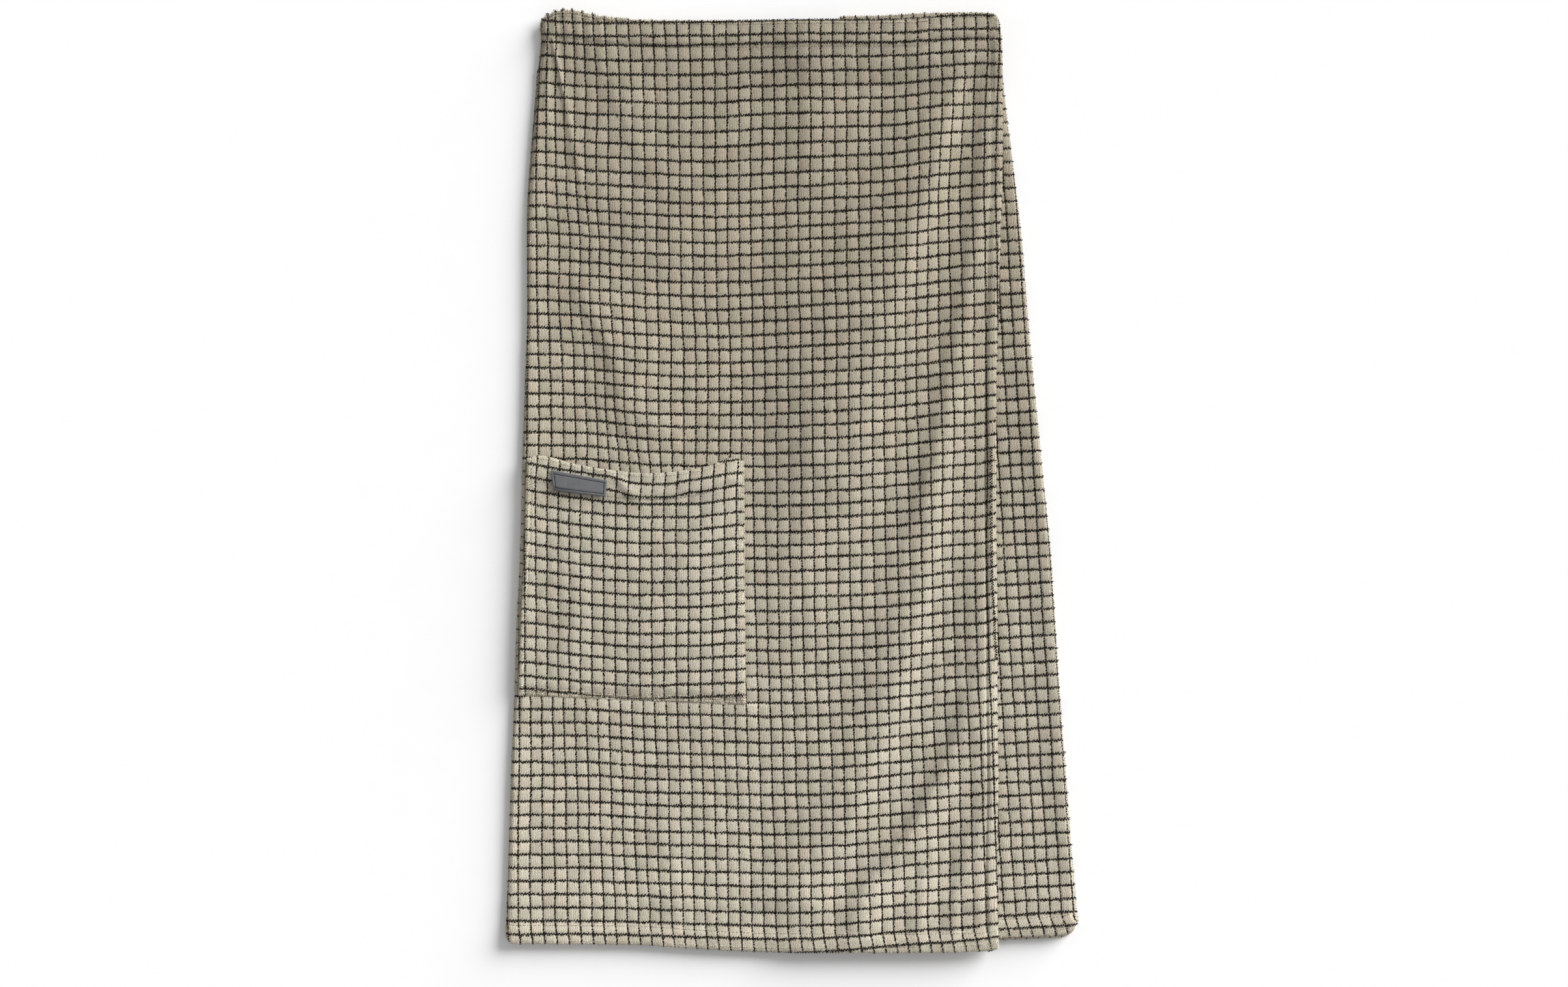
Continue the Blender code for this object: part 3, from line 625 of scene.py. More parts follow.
def front_column_x(c, down):
    """Where a numbered column line of the front runs. The table's columns are named by the lines' numbers."""
    c = np.broadcast_to(c, down.shape)
    lines = [[int(name[1:]) for name in rows[0]._fields[1:]] for rows in (FRONT_COLUMNS, DRIFTS)]
    return net(FRONT_COLUMNS, "down", lines[0], down, c) + net(DRIFTS, "down", lines[1], down, c)


def front_row_down(r, x):
    """How far down a numbered row line of the front lies at x, also past the first and the last one."""
    numbers = [row.number for row in FRONT_ROWS]
    inside = np.clip(r, numbers[0], numbers[-1])
    middle = weights_at(numbers, inside) @ np.array([row.down for row in FRONT_ROWS])
    return middle + net(FRONT_ROWS, "number", FRONT_ROWS_AT, inside, x) + (r - inside) * ROW


def lap_row_down(r, x):
    return LAP_FIRST_ROW + LAP_ROW * r + LAP_ROW_LEAN * (x - LAP_COLUMN_X)


def lap_column_x(c, down):
    return LAP_COLUMN_X + c * LAP_COLUMN + LAP_COLUMN_LEAN * (down - LAP_COLUMN_DOWN)


def back_row_down(r, x):
    """The back's rows meet those of the front at the left fold and those of the lap at the right one."""
    left, right = SIDES[-1].left, SIDES[-1].right
    share = np.clip((x - left) / (right - left), 0, 1)
    return front_row_down(r, np.full(x.shape, left)) * (1 - share) + lap_row_down(r, x) * share


def pocket_row_down(r, x):
    """The rows in the mouth's hem sag more than the others."""
    return pocket_first_at(x) + r * pocket_pitch_at(x) + mouth_sag_at(x) * np.clip(-1 - r, 0, 1)


# ---------------------------------------------------------------- grids of points

# Places along a row or a column of points. kind says how value is read.
Place = namedtuple("Place", "kind value")

EDGE_ROUND = (0.0, 0.00012, 0.00045, 0.00110, NOSE)  # in from a rounded edge
INNER_ROUND = (0.0009, NOSE)
CELL_ACROSS = (0, 0.13, 0.5, 0.87)  # points in each square of the check
CELL_DOWN = (0, 0.12, 0.37, 0.63, 0.88)
BACK_DOWN = (0, 0.13, 0.5, 0.87)


def spread(kind, count):
    """Places at equal steps between 0 and 1, with neither of them."""
    return [Place(kind, i / count) for i in range(1, count)]


def cells(kind, lines, steps):
    """Places in every square of the check from one line to another, with the last line."""
    first, last = lines
    return [Place(kind, n + step) for n in range(first, last) for step in steps] + [Place(kind, last)]


def edge_places(kind, fine, inwards=True):
    """Places in from a rounded edge, or out to one."""
    steps = EDGE_ROUND if fine else INNER_ROUND
    return [Place(kind, step) for step in (steps if inwards else reversed(steps))]


def row_places(fine, lines, steps=CELL_DOWN, head=8, tail=5, coarse=0):
    """Rows of points from the waist down: fine ones on the outer side, and coarse ones inside."""
    first, last = lines
    coarse = coarse or last - first
    if fine:
        middle = spread("head", head) + cells("line", lines, steps) + spread("tail", tail)
    else:
        middle = [Place("line", first + (last - first) * i / coarse) for i in range(coarse + 1)]
    return edge_places("start", fine) + middle + edge_places("end", fine, inwards=False)


def chosen(kinds, **choices):
    """The choice for each place's kind."""
    return np.select([kinds == kind for kind in choices], list(choices.values()))


def settled(solve, x, rounds=4):
    """Solves for x where x and the distance down depend on each other."""
    for _ in range(rounds):
        x = solve(x)
    return x


def points_of(x, down, z):
    return np.stack([x, WAIST_Y - down, z], -1)


class Face:
    """One side of a panel's wall as a grid of points, from the places of its rows and of its columns."""

    def __init__(self, fine, rows, columns, start_at, end_at, line_down, pitch=ROW):
        self.side = 1 if fine else -1
        self.row_kinds, self.row_values = (np.array(part)[:, None] for part in zip(*rows))
        self.kinds, values = (np.array(part)[None, :] for part in zip(*columns))
        self.values = np.broadcast_to(values, (len(rows), len(columns)))
        self.on_line = self.row_kinds == "line"
        lines = self.row_values[self.on_line]
        self.first, self.last = lines.min(), lines.max()
        self.start_at, self.end_at, self.line_down, self.pitch = start_at, end_at, line_down, pitch

    def at(self, x):
        """How far down each point lies at x, and its row number in the check."""
        start, end = self.start_at(x), self.end_at(x)
        values = np.broadcast_to(self.row_values, x.shape)
        first, last = (self.line_down(np.full(x.shape, number), x) for number in (self.first, self.last))
        after, before = start + NOSE, end - NOSE
        down = chosen(
            self.row_kinds,
            start=start + values,
            head=after + (first - after) * values,
            line=self.line_down(np.where(self.on_line, values, self.first), x),
            tail=last + (before - last) * values,
            end=end - values,
        )
        low = (self.row_kinds == "tail") | (self.row_kinds == "end")
        number = np.where(self.on_line, values, self.first + (down - first) / self.pitch)
        return down, np.where(low, self.last + (down - last) / self.pitch, number)

    def near(self, x, down=None):
        """A place's distance down as the layers below it count it: the hems follow their own edges."""
        down = self.at(x)[0] if down is None else down
        near_foot = ramp(down, FOOT - FOOT_HEM - HEM_TAIL, FOOT - FOOT_HEM)
        return down - self.start_at(x) * (1 - ramp(down, 0, WAIST_HEM)) + (FOOT - self.end_at(x)) * near_foot

    def wall(self, x, down, bumps, across=0, from_edge=NOSE):
        """The wall's thickness, and how far this side of it lies beyond its outer surface."""
        thick, nose = thickness(down - self.start_at(x), self.end_at(x) - down, across)
        nose = np.minimum(nose, nose_share(from_edge))
        return thick, thick / 2 * (self.side * nose - 1) + (bumps * nose if self.side > 0 else 0)


def quarter(width, height):
    """Length of a quarter of an ellipse."""
    return math.pi / 2 * np.sqrt((width**2 + height**2) / 2)


def upper_half(spine, down, under):
    """The upper half of a side fold: its half width and height, its seam's height, and its arc's length."""
    thick, _ = thickness(down, FOOT - down)
    seam = (under(spine, down) + level(down) + GAP) / 2
    reach, up = fold_reach(down), under(spine, down) + thick - seam
    return reach, up, seam, quarter(reach, up)


def lower_half(spine, down, under, out=0):
    """The lower half, from the seam down to the floor: its half width, its seam's height, and its arc."""
    seam = (under(spine, down) + level(down) - GAP) / 2
    return fold_reach(down) + out, seam, quarter(fold_reach(down) + out, seam)


FREE_FROM_FOLD = 0.008  # how far in from a fold the check's lines wander freely
FREE_FROM_FLAP = (0.002, 0.012)
FREE_FROM_HIDDEN = (0.002, 0.02)
FREE_FROM_WAIST = (0.004, 0.012)
FREE_FROM_FOOT = (0.003, 0.009)
FOOT_LEAN_AT = (-0.05, 0.12)  # x where the foot's lean is the left half's, and where it is the other's


def in_hems(near):
    """0 at the waist's and the foot's edge, 1 a little way in from both."""
    return ramp(near, *FREE_FROM_WAIST) * ramp(FOOT - near, *FREE_FROM_FOOT)


def in_foot(near):
    return ramp(near, FOOT - FOOT_LEAN_FROM, FOOT)


# ---------------------------------------------------------------- the panels

FRONT_LINES = (1, 69)
TURN_TO = 4  # the column line where the points round the left fold end
LAST_COLUMN = 39
FOLD_GUESS = -0.24  # about where the left fold lies, for a start
LAP_LINES = (2, 68)
LAP_COLUMN_LINES = (-2, 2)
BACK_COLUMN_LINES = (-16, 16)  # column lines of the back that run straight
LAP_START = 50  # numbers of the lap's and the back's middle lines in the cloth that they are cut from
BACK_START = 90


def front_grid(fine):
    """The front panel's outer or inner side, from the left fold to its free edge."""
    columns = [Place("turn", 0)] + spread("turn", 60 if fine else 14)
    columns += cells("cell", (TURN_TO, LAST_COLUMN), CELL_ACROSS if fine else (0,))
    columns += spread("side", 14 if fine else 1) + edge_places("edge", fine, inwards=False)
    rows = row_places(fine, FRONT_LINES)
    face = Face(fine, rows, columns, lambda x: -front_waist_at(x), front_foot_at, front_row_down)

    def flat_x(x):
        """Where each point would lie if the cloth went on flat past the fold."""
        down = face.near(x)
        spine, last, edge = left_spine(down), front_column_x(LAST_COLUMN, down), edge_at(down)
        seam_x = spine - upper_half(spine, down, under_front)[-1]
        line = front_column_x(np.where(face.kinds == "cell", face.values, TURN_TO), down)
        return chosen(
            face.kinds,
            turn=seam_x + (line - seam_x) * face.values,
            cell=line,
            side=last + (edge - NOSE - last) * face.values,
            edge=edge - face.values,
        )

    guess = np.where(face.kinds == "turn", FOLD_GUESS, 0.0) + np.zeros(face.values.shape)
    x = settled(flat_x, guess)
    down, r = face.at(np.maximum(x, left_at(0.4)))
    near = face.near(x, down)
    spine = left_spine(near)
    reach, up, seam, arc = upper_half(spine, near, under_front)
    start, turn_line, last = (front_column_x(number, near) for number in (0, TURN_TO, LAST_COLUMN))
    past = LAST_COLUMN + (x - last) / COLUMN
    turned = TURN_TO + (x - turn_line) / (turn_line - start) * TURN_TO
    c = chosen(face.kinds, cell=face.values, turn=turned, side=past, edge=past)
    c = c - np.interp(x, FOOT_LEAN_AT, (FOOT_LEAN_LEFT, FOOT_LEAN)) * in_foot(near)
    free = ramp(x - spine, 0, FREE_FROM_FOLD) * ramp(edge_at(near) - x, *FREE_FROM_FLAP)
    aside, along = unsteady(c, r, free * in_hems(near))
    flat = x + aside
    turn = np.clip((spine - flat) / arc, 0, 1) * math.pi / 2
    x = np.where(flat < spine, spine - np.sin(turn) * reach, flat)
    down = face.at(x)[0] + along
    near = face.near(x, down)
    from_edge = edge_at(near) - x
    groove = flap_groove_at(near) * np.exp(-(((from_edge - FLAP_HEM) / FLAP_GROOVE_WIDTH) ** 2))
    hem = hem_share(from_edge, FLAP_HEM) * (x > 0)
    thick, out = face.wall(x, down, relief(c, r) - groove, hem, from_edge)
    z = np.where(
        flat < spine, seam + np.cos(turn) * (up + out), under_front(np.maximum(x, spine), near) + thick + out
    )
    x = np.where(flat < spine, spine - np.sin(turn) * (reach + out), x)
    return points_of(x, down, z), np.stack([c, r], -1)


def lap_grid(fine):
    """The under lap's outer or inner side, from its hidden edge to the right fold."""
    columns = edge_places("edge", fine) + spread("side", 20 if fine else 8)
    columns += cells("cell", LAP_COLUMN_LINES, CELL_ACROSS if fine else (0,))
    columns += spread("turn", 40 if fine else 10) + [Place("turn", 1)]
    rows = row_places(fine, LAP_LINES)
    face = Face(fine, rows, columns, lambda x: -lap_waist_at(x), lap_foot_at, lap_row_down)

    def flat_x(x):
        down = face.near(x)
        spine, edge = right_spine(down), lap_edge_at(down)
        first, last = (lap_column_x(number, down) for number in LAP_COLUMN_LINES)
        arc = upper_half(spine, down, under_lap)[-1]
        return chosen(
            face.kinds,
            edge=edge + face.values,
            side=edge + NOSE + (first - edge - NOSE) * face.values,
            cell=lap_column_x(face.values, down),
            turn=last + (spine + arc - last) * face.values,
        )

    x = settled(flat_x, np.full(face.values.shape, 0.2))
    down, r = face.at(x)
    near = face.near(x, down)
    spine = right_spine(near)
    reach, up, seam, arc = upper_half(spine, near, under_lap)
    c = (x - lap_column_x(0, near)) / LAP_COLUMN - FOOT_LEAN * in_foot(near)
    aside, along = unsteady(c + LAP_START, r, ramp(spine - x, 0, FREE_FROM_FOLD) * in_hems(near))
    flat = x + aside * ramp(x - lap_edge_at(near), *FREE_FROM_HIDDEN)
    turn = np.clip((flat - spine) / arc, 0, 1) * math.pi / 2
    x = np.where(flat > spine, spine + np.sin(turn) * reach, flat)
    down = face.at(x)[0] + along
    near = face.near(x, down)
    thick, out = face.wall(x, down, relief(c, r), from_edge=x - lap_edge_at(near))
    z = np.where(
        flat > spine, seam + np.cos(turn) * (up + out), under_lap(np.minimum(x, spine), near) + thick + out
    )
    x = np.where(flat > spine, spine + np.sin(turn) * (reach + out), x)
    return points_of(x, down, z), np.stack([c + LAP_START, r], -1)


def back_grid(fine):
    """The back panel's outer or inner side, from the left fold's seam to the right fold's."""
    columns = [Place("left", 0)] + spread("left", 44 if fine else 10)
    columns += cells("cell", BACK_COLUMN_LINES, CELL_ACROSS if fine else (0,))
    columns += spread("right", 44 if fine else 10) + [Place("right", 1)]
    rows = row_places(fine, LAP_LINES, BACK_DOWN)
    face = Face(fine, rows, columns, lambda x: -back_waist_at(x), back_foot_at, back_row_down)

    def folds(down):
        """The spine and the lower half of the left fold, and of the right one."""
        left, right = left_spine(down), right_spine(down)
        left_half = lower_half(left, down, under_front, slump_at(down))
        return (left, *left_half), (right, *lower_half(right, down, under_lap))

    def flat_x(x):
        (left, _, _, left_arc), (right, _, _, right_arc) = folds(face.near(x))
        first, last = (number * COLUMN for number in BACK_COLUMN_LINES)
        return chosen(
            face.kinds,
            left=left - left_arc + (left_arc - left + first) * face.values,
            cell=face.values * COLUMN,
            right=last + (right + right_arc - last) * face.values,
        )

    x = settled(flat_x, np.zeros(face.values.shape))
    down, r = face.at(x)
    near = face.near(x, down)
    c = x / COLUMN + BACK_START
    (left, left_reach, left_seam, left_arc), (right, right_reach, right_seam, right_arc) = folds(near)
    free = ramp(x - left, 0, FREE_FROM_FOLD) * ramp(right - x, 0, FREE_FROM_FOLD)
    aside, along = unsteady(c, r, free * in_hems(near))
    flat = x + aside
    sides = [flat < left, flat > right]
    past = np.select(sides, [(left - flat) / left_arc, (flat - right) / right_arc])
    turn = np.clip(past, 0, 1) * math.pi / 2
    spine, seam = np.select(sides, [left, right], flat), np.select(sides, [left_seam, right_seam])
    way, reach = np.select(sides, [-1, 1]), np.select(sides, [left_reach, right_reach])
    x = spine + way * np.sin(turn) * reach
    down = face.at(x)[0] + along
    _, out = face.wall(x, down, relief(c, r))
    z = np.where(turn > 0, seam - np.cos(turn) * (seam + out), -out)
    return points_of(spine + way * np.sin(turn) * (reach + out), down, z), np.stack([c, r], -1)


# ---------------------------------------------------------------- the pocket and its label

POCKET_START = (130, 50)  # numbers of the pocket's first lines in the cloth that it was cut from
POCKET_LINES = (-3, 13)
POCKET_COLUMN_LINES = (1, 18)
MOUTH_LEAN = 0.0016  # how far right the mouth's hem carries the column lines
MOUTH_LEAN_FADE = 0.030
POCKET_FREE = (0.001, 0.009)  # how far in from its edges the check's lines wander


def pocket_grid(fine):
    columns = edge_places("start", fine) + spread("left", 14 if fine else 4)
    columns += cells("cell", POCKET_COLUMN_LINES, CELL_ACROSS if fine else (0,))
    columns += spread("right", 8 if fine else 3) + edge_places("end", fine, inwards=False)
    rows = row_places(fine, POCKET_LINES, head=14, tail=8, coarse=24)
    face = Face(fine, rows, columns, pocket_mouth_at, pocket_foot, pocket_row_down, POCKET_ROWS[2].pitch)

    def line_x(c, x, down):
        lean = MOUTH_LEAN * (1 - ramp(down - pocket_mouth_at(x), 0, MOUTH_LEAN_FADE))
        return POCKET_COLUMN_X + c * POCKET_COLUMN + lean + pocket_bow_at(c)

    def flat_x(x):
        down, _ = face.at(x)
        left, right = left_spine(down), pocket_right(down)
        first, last = (line_x(number, x, down) for number in POCKET_COLUMN_LINES)
        return chosen(
            face.kinds,
            start=left + face.values,
            left=left + NOSE + (first - left - NOSE) * face.values,
            cell=line_x(face.values, x, down),
            right=last + (right - NOSE - last) * face.values,
            end=right - face.values,
        )

    x = settled(flat_x, np.full(face.values.shape, -0.15), 8)
    down, r = face.at(x)
    c = settled(lambda c: c + (x - line_x(c, x, down)) / POCKET_COLUMN, np.zeros(x.shape))
    inwards = np.minimum(x - left_spine(down), pocket_right(down) - x)
    inwards = np.minimum(inwards, np.minimum(down - pocket_mouth_at(x), pocket_foot(x) - down))
    c, r = c + POCKET_START[0], r + POCKET_START[1]
    aside, along = unsteady(c, r, ramp(inwards, *POCKET_FREE))
    x, down = x + aside, down + along
    thick, nose = pocket_pressed(x, down), nose_share(np.maximum(inwards, 0))
    bumps = relief(c, r) * nose if fine else 0
    under = pocket_lift(x, down) + ridges(POCKET_FOLDS, x, down)
    return points_of(x, down, under + thick / 2 * (1 + face.side * nose) + bumps), np.stack([c, r], -1)


LABEL_WIDTH = math.dist(LABEL_CORNERS[0], LABEL_CORNERS[1])
LABEL_HEIGHT = math.dist(LABEL_CORNERS[1], LABEL_CORNERS[2])
LABEL_ROUND = 0.0005
LABEL_SEAM = 0.0026  # from its edge to its stitching
LABEL_SEAM_DEPTH = 0.00022
LABEL_SEAM_WIDTH = 0.0007


def label_shares(length, count, fine):
    """Shares of the label's width or height, closer together where its edges are rounded."""
    ends = [LABEL_ROUND / length * step for step in (0, 0.06, 0.25, 0.6, 1)]
    if not fine:
        return np.linspace(ends[2], 1 - ends[2], count)
    middle = np.linspace(ends[-1], 1 - ends[-1], count)[1:-1]
    return [*ends, *middle, *(1 - end for end in reversed(ends))]


def label_under(x, down):
    """The label lies flat on the highest of what is round each place."""
    near = [(x + LABEL_REACH * i, down + LABEL_REACH * j) for i in (-1, 0, 1) for j in (-1, 0, 1)]
    return np.maximum.reduce([pocket_lift(*place) + pocket_thick(*place) for place in near]) + GAP


def label_grid(fine):
    across = label_shares(LABEL_WIDTH, 80 if fine else 14, fine)
    s, t = np.meshgrid(across, label_shares(LABEL_HEIGHT, 28 if fine else 6, fine))
    shares = ((1 - t) * (1 - s), (1 - t) * s, t * s, t * (1 - s))
    x, down = (sum(share * size for share, size in zip(shares, sizes)) for sizes in zip(*LABEL_CORNERS))
    inwards = np.minimum(np.minimum(s, 1 - s) * LABEL_WIDTH, np.minimum(t, 1 - t) * LABEL_HEIGHT)
    side, groove = -1, 0
    if fine:
        side, groove = 1, LABEL_SEAM_DEPTH * np.exp(-(((inwards - LABEL_SEAM) / LABEL_SEAM_WIDTH) ** 2))
    z = label_under(x, down) + LABEL_THICK / 2 * (1 + side * nose_share(inwards, LABEL_ROUND)) - groove
    return points_of(x, down, z), np.stack([s * LABEL_WIDTH, t * LABEL_HEIGHT], -1)


# ---------------------------------------------------------------- shells

BAKE_MAP = "OFBake"  # the layer that a baked picture of the material would be laid out by
OUTER_MAP = ((0.015, 0.015), (0.885, 0.985))
INNER_MAP = ((0.92, 0.015), (0.985, 0.985))
MAP_RIM = 0.008


def grid_faces(rows, columns, start=0):
    i, j = np.meshgrid(np.arange(rows - 1), np.arange(columns - 1), indexing="ij")
    corner = (start + i * columns + j).ravel()
    return np.stack([corner, corner + columns, corner + columns + 1, corner + 1], 1)


def rim(rows, columns, start=0):
    """The four sides of a grid's rim, as lines of point numbers."""
    numbers = start + np.arange(rows * columns).reshape(rows, columns)
    return numbers[0], numbers[:, -1], numbers[-1, ::-1], numbers[::-1, 0]


def stitch(first, second):
    """Triangles between two lines of points that start and end side by side."""
    faces = []
    i = j = 0
    while i < len(first) - 1 or j < len(second) - 1:
        next_first, next_second = (i + 1) / (len(first) - 1), (j + 1) / (len(second) - 1)
        if j == len(second) - 1 or (i < len(first) - 1 and next_first <= next_second):
            faces.append((first[i], first[i + 1], second[j]))
            i += 1
        else:
            faces.append((first[i], second[j + 1], second[j]))
            j += 1
    return faces


def even_places(points, low, high):
    """A flat map's places for a grid of points, spaced as far apart as the points are on average."""
    spans = []
    for axis in (1, 0):
        steps = np.linalg.norm(np.diff(points, axis=axis), axis=-1).mean(axis=1 - axis)
        along = np.concatenate([[0], np.cumsum(steps)])
        spans.append(along / along[-1])
    across, along = np.meshgrid(spans[0], 1 - spans[1])
    places = np.stack([low[0] + (high[0] - low[0]) * across, low[1] + (high[1] - low[1]) * along], -1)
    return places.reshape(-1, 2)


def rim_places(outer_line, inner_line, places):
    """Where a rim's inner points lie on the map of its outer ones: just outside them."""
    share = np.linspace(0, len(outer_line) - 1, len(inner_line))
    along = [np.interp(share, np.arange(len(outer_line)), places[outer_line][:, axis]) for axis in (0, 1)]
    side = places[outer_line].mean(axis=0) - np.mean(OUTER_MAP, axis=0)
    return np.stack(along, -1) + MAP_RIM * side / np.linalg.norm(side)


def put_map(mesh, name, places):
    mesh.uv_layers.new(name=name).data.foreach_set("uv", np.asarray(places, np.float32).ravel())


def shown(name, mesh, look):
    mesh.shade_smooth()
    mesh.materials.append(look)
    piece = bpy.data.objects.new(name, mesh)
    bpy.context.scene.collection.objects.link(piece)
    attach(piece, "root")
    return piece


def shell(name, node, make, look, facing=1):
    """A closed shell of a fine outer grid and a coarse inner one, in a solid's place, and its outer grid."""
    (outer_points, outer_check), (inner_points, inner_check) = make(True), make(False)
    outer, inner = outer_points.shape[:2], inner_points.shape[:2]
    total = outer[0] * outer[1]
    points = np.concatenate([outer_points.reshape(-1, 3), inner_points.reshape(-1, 3)])
    check = np.concatenate([outer_check.reshape(-1, 2), inner_check.reshape(-1, 2)])
    flat_map = np.concatenate([even_places(outer_points, *OUTER_MAP), even_places(inner_points, *INNER_MAP)])
    rim_map = flat_map.copy()
    faces = grid_faces(*outer).tolist() + grid_faces(*inner, total)[:, ::-1].tolist()
    whole = len(faces)
    for outside, inside in zip(rim(*outer), rim(*inner, total)):
        faces += stitch(outside.tolist(), inside.tolist())
        rim_map[inside] = rim_places(outside, inside, flat_map)
    mesh = bpy.data.meshes.new(name)
    mesh.from_pydata(points.tolist(), [], faces)
    shaper = bmesh.new()
    shaper.from_mesh(mesh)
    bmesh.ops.recalc_face_normals(shaper, faces=shaper.faces)
    shaper.to_mesh(mesh)
    shaper.free()
    corners = np.empty(len(mesh.loops), np.int32)
    mesh.loops.foreach_get("vertex_index", corners)
    in_rim = np.repeat(np.arange(len(faces)) >= whole, [len(face) for face in faces])[:, None]
    put_map(mesh, "check", check[corners])
    put_map(mesh, BAKE_MAP, np.where(in_rim, rim_map[corners], flat_map[corners]))
    piece = shown(name, mesh, look)
    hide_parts(node)
    return piece, grid_of(outer_points, outer_check, facing)


# ---------------------------------------------------------------- yarn that stands out of the cloth

Grid = namedtuple("Grid", "points normals check")
Strand = namedtuple("Strand", "points normals check")
Stations = namedtuple("Stations", "points tangents normals check")
Shape = namedtuple("Shape", "corners faces map")
LEFT, RIGHT, UP, DOWN = np.array([(-1, 0, 0), (1, 0, 0), (0, 1, 0), (0, -1, 0)], float)

BEAD = Shape(
    np.array([(1, 0, 0), (0, 1, 0), (0, 0, 1), (-1, 0, 0), (0, -1, 0), (0, 0, -1)], float),
    np.array([(0, 1, 2), (1, 3, 2), (3, 4, 2), (4, 0, 2), (1, 0, 5), (3, 1, 5), (4, 3, 5), (0, 4, 5)]),
    np.array([(1.0, 0.5), (0.5, 1.0), (0.5, 0.5), (0.0, 0.5), (0.5, 0.0), (0.5, 0.5)]),
)


def tube_faces(rings, sides):
    """Triangles between rings of points."""
    faces = []
    for ring in range(rings - 1):
        for k in range(sides):
            a, b = ring * sides + k, ring * sides + (k + 1) % sides
            faces += [(a, a + sides, b), (b, a + sides, b + sides)]
    return faces


def capsule(sides=6):
    """A short thick thread with rounded ends, along its first axis."""
    rings = ((-1.0, 0.35), (-0.7, 1.0), (0.7, 1.0), (1.0, 0.35))
    turns = np.arange(sides) / sides * 2 * math.pi
    corners = [(x, r * math.cos(turn), r * math.sin(turn)) for x, r in rings for turn in turns]
    faces = tube_faces(len(rings), sides)
    last = (len(rings) - 1) * sides
    for k in range(1, sides - 1):
        faces += [(0, k, k + 1), (last, last + k + 1, last + k)]
    places = [((x + 1) / 2, 0.5 + math.sin(turn) / 2) for x, _ in rings for turn in turns]
    return Shape(np.array(corners), np.array(faces)[:, ::-1], np.array(places))


def arch(steps=5, yarn=0.17):
    """A standing loop of yarn: its feet lie apart along the first axis, its top up the third."""
    corners = []
    for turn in np.linspace(0, math.pi, steps):
        middle = np.array([math.cos(turn), 0, math.sin(turn)])
        for around in (0, 2 * math.pi / 3, 4 * math.pi / 3):
            out = middle * math.cos(around) + np.array([0, 2.2, 0]) * math.sin(around)
            corners.append(middle + yarn * out)
    faces = [(0, 1, 2), (3 * steps - 1, 3 * steps - 2, 3 * steps - 3)] + tube_faces(steps, 3)
    places = [(step / (steps - 1), k / 2) for step in range(steps) for k in range(3)]
    return Shape(np.array(corners), np.array(faces), np.array(places))


def unit(vectors):
    return vectors / np.maximum(np.linalg.norm(vectors, axis=-1, keepdims=True), 1e-12)


def grid_of(points, check, facing):
    """A fine grid with the normals of its outer side."""
    normals = np.cross(np.gradient(points, axis=0), np.gradient(points, axis=1)) * facing
    return Grid(points, unit(normals), check)


def strand_where(grid, field, value, down=False):
    """The places where a field reaches a value: one in each of the grid's rows, or columns if down."""
    arrays = (field, *grid)
    if down:
        arrays = [np.swapaxes(array, 0, 1) for array in arrays]
    field = arrays[0]
    before = (field < value).sum(1) - 1
    kept = np.flatnonzero((before >= 0) & (before < field.shape[1] - 1))
    if len(kept) < 3:
        return None
    at = before[kept]
    low, high = field[kept, at], field[kept, at + 1]
    share = ((value - low) / (high - low))[:, None]
    return Strand(*(array[kept, at] * (1 - share) + array[kept, at + 1] * share for array in arrays[1:]))


def check_strands(grid, axis):
    """The check's column lines (axis 0) or its row lines (axis 1) on a grid."""
    field = grid.check[..., axis]
    numbers = range(math.ceil(field.min()), math.floor(field.max()) + 1)
    found = [strand_where(grid, field, number, axis == 1) for number in numbers]
    return [strand for strand in found if strand]


def stations(strand, pitch, uneven=0.3):
    """Places at steps along a strand."""
    lengths = np.concatenate([[0], np.cumsum(np.linalg.norm(np.diff(strand.points, axis=0), axis=1))])
    lengths = lengths + np.arange(len(lengths)) * 1e-9
    count = int(lengths[-1] / pitch)
    at = (np.arange(count) + 0.5 + chance.uniform(-uneven, uneven, count)) * pitch
    tangents = unit(np.gradient(strand.points, lengths, axis=0))
    arrays = (strand.points, tangents, strand.normals, strand.check)
    return Stations(*(np.stack([np.interp(at, lengths, a) for a in array.T], -1) for array in arrays)), count


def gathered(found):
    return [np.concatenate(parts) for parts in zip(*found)]


COPY_MARGIN = 0.12  # round each copy's place on the bake map


def joined(name, look, shape, centres, frames, sizes, check=None, slot="terry"):
    """One mesh of many copies of a shape. A frame's rows are a copy's axes, and a size is half the copy's."""
    count = len(centres)
    points = centres[:, None, :] + np.einsum("ck,nkd->ncd", shape.corners, frames * sizes[:, :, None])
    faces = (np.arange(count)[:, None, None] * len(shape.corners) + shape.faces).reshape(-1, 3)
    mesh = bpy.data.meshes.new(name)
    mesh.from_pydata(points.reshape(-1, 3).tolist(), [], faces.tolist())
    corners = np.tile(shape.faces.ravel(), count)
    copies = np.repeat(np.arange(count), shape.faces.size)
    side = math.ceil(math.sqrt(count))
    if check is not None:
        put_map(mesh, "check", check[copies])
    cell = np.stack([copies % side, copies // side], -1)
    put_map(mesh, BAKE_MAP, (cell + COPY_MARGIN + (1 - 2 * COPY_MARGIN) * shape.map[corners]) / side)
    return shown(name, mesh, look)


Knots = namedtuple("Knots", "pitch length width height lift lean sway apart missing")
ROW_KNOTS = Knots(0.00122, 0.0026, 0.00130, 0.00090, 0.00055, 60, 0.00035, 0.00066, 0.04)
COLUMN_KNOTS = Knots(0.00190, 0.0021, 0.00150, 0.00100, 0.00050, 26, 0.00030, 0.00015, 0.05)
CHAIN_KNOTS = Knots(0.00120, 0.0019, 0.00150, 0.00110, 0.00060, 50, 0.00020, 0.00060, 0.00)
KNOT_RISE = 0.00012  # how much higher or lower than their usual lift they stand
KNOT_SWELL = (0.72, 1.22)  # their sizes, as shares of the usual


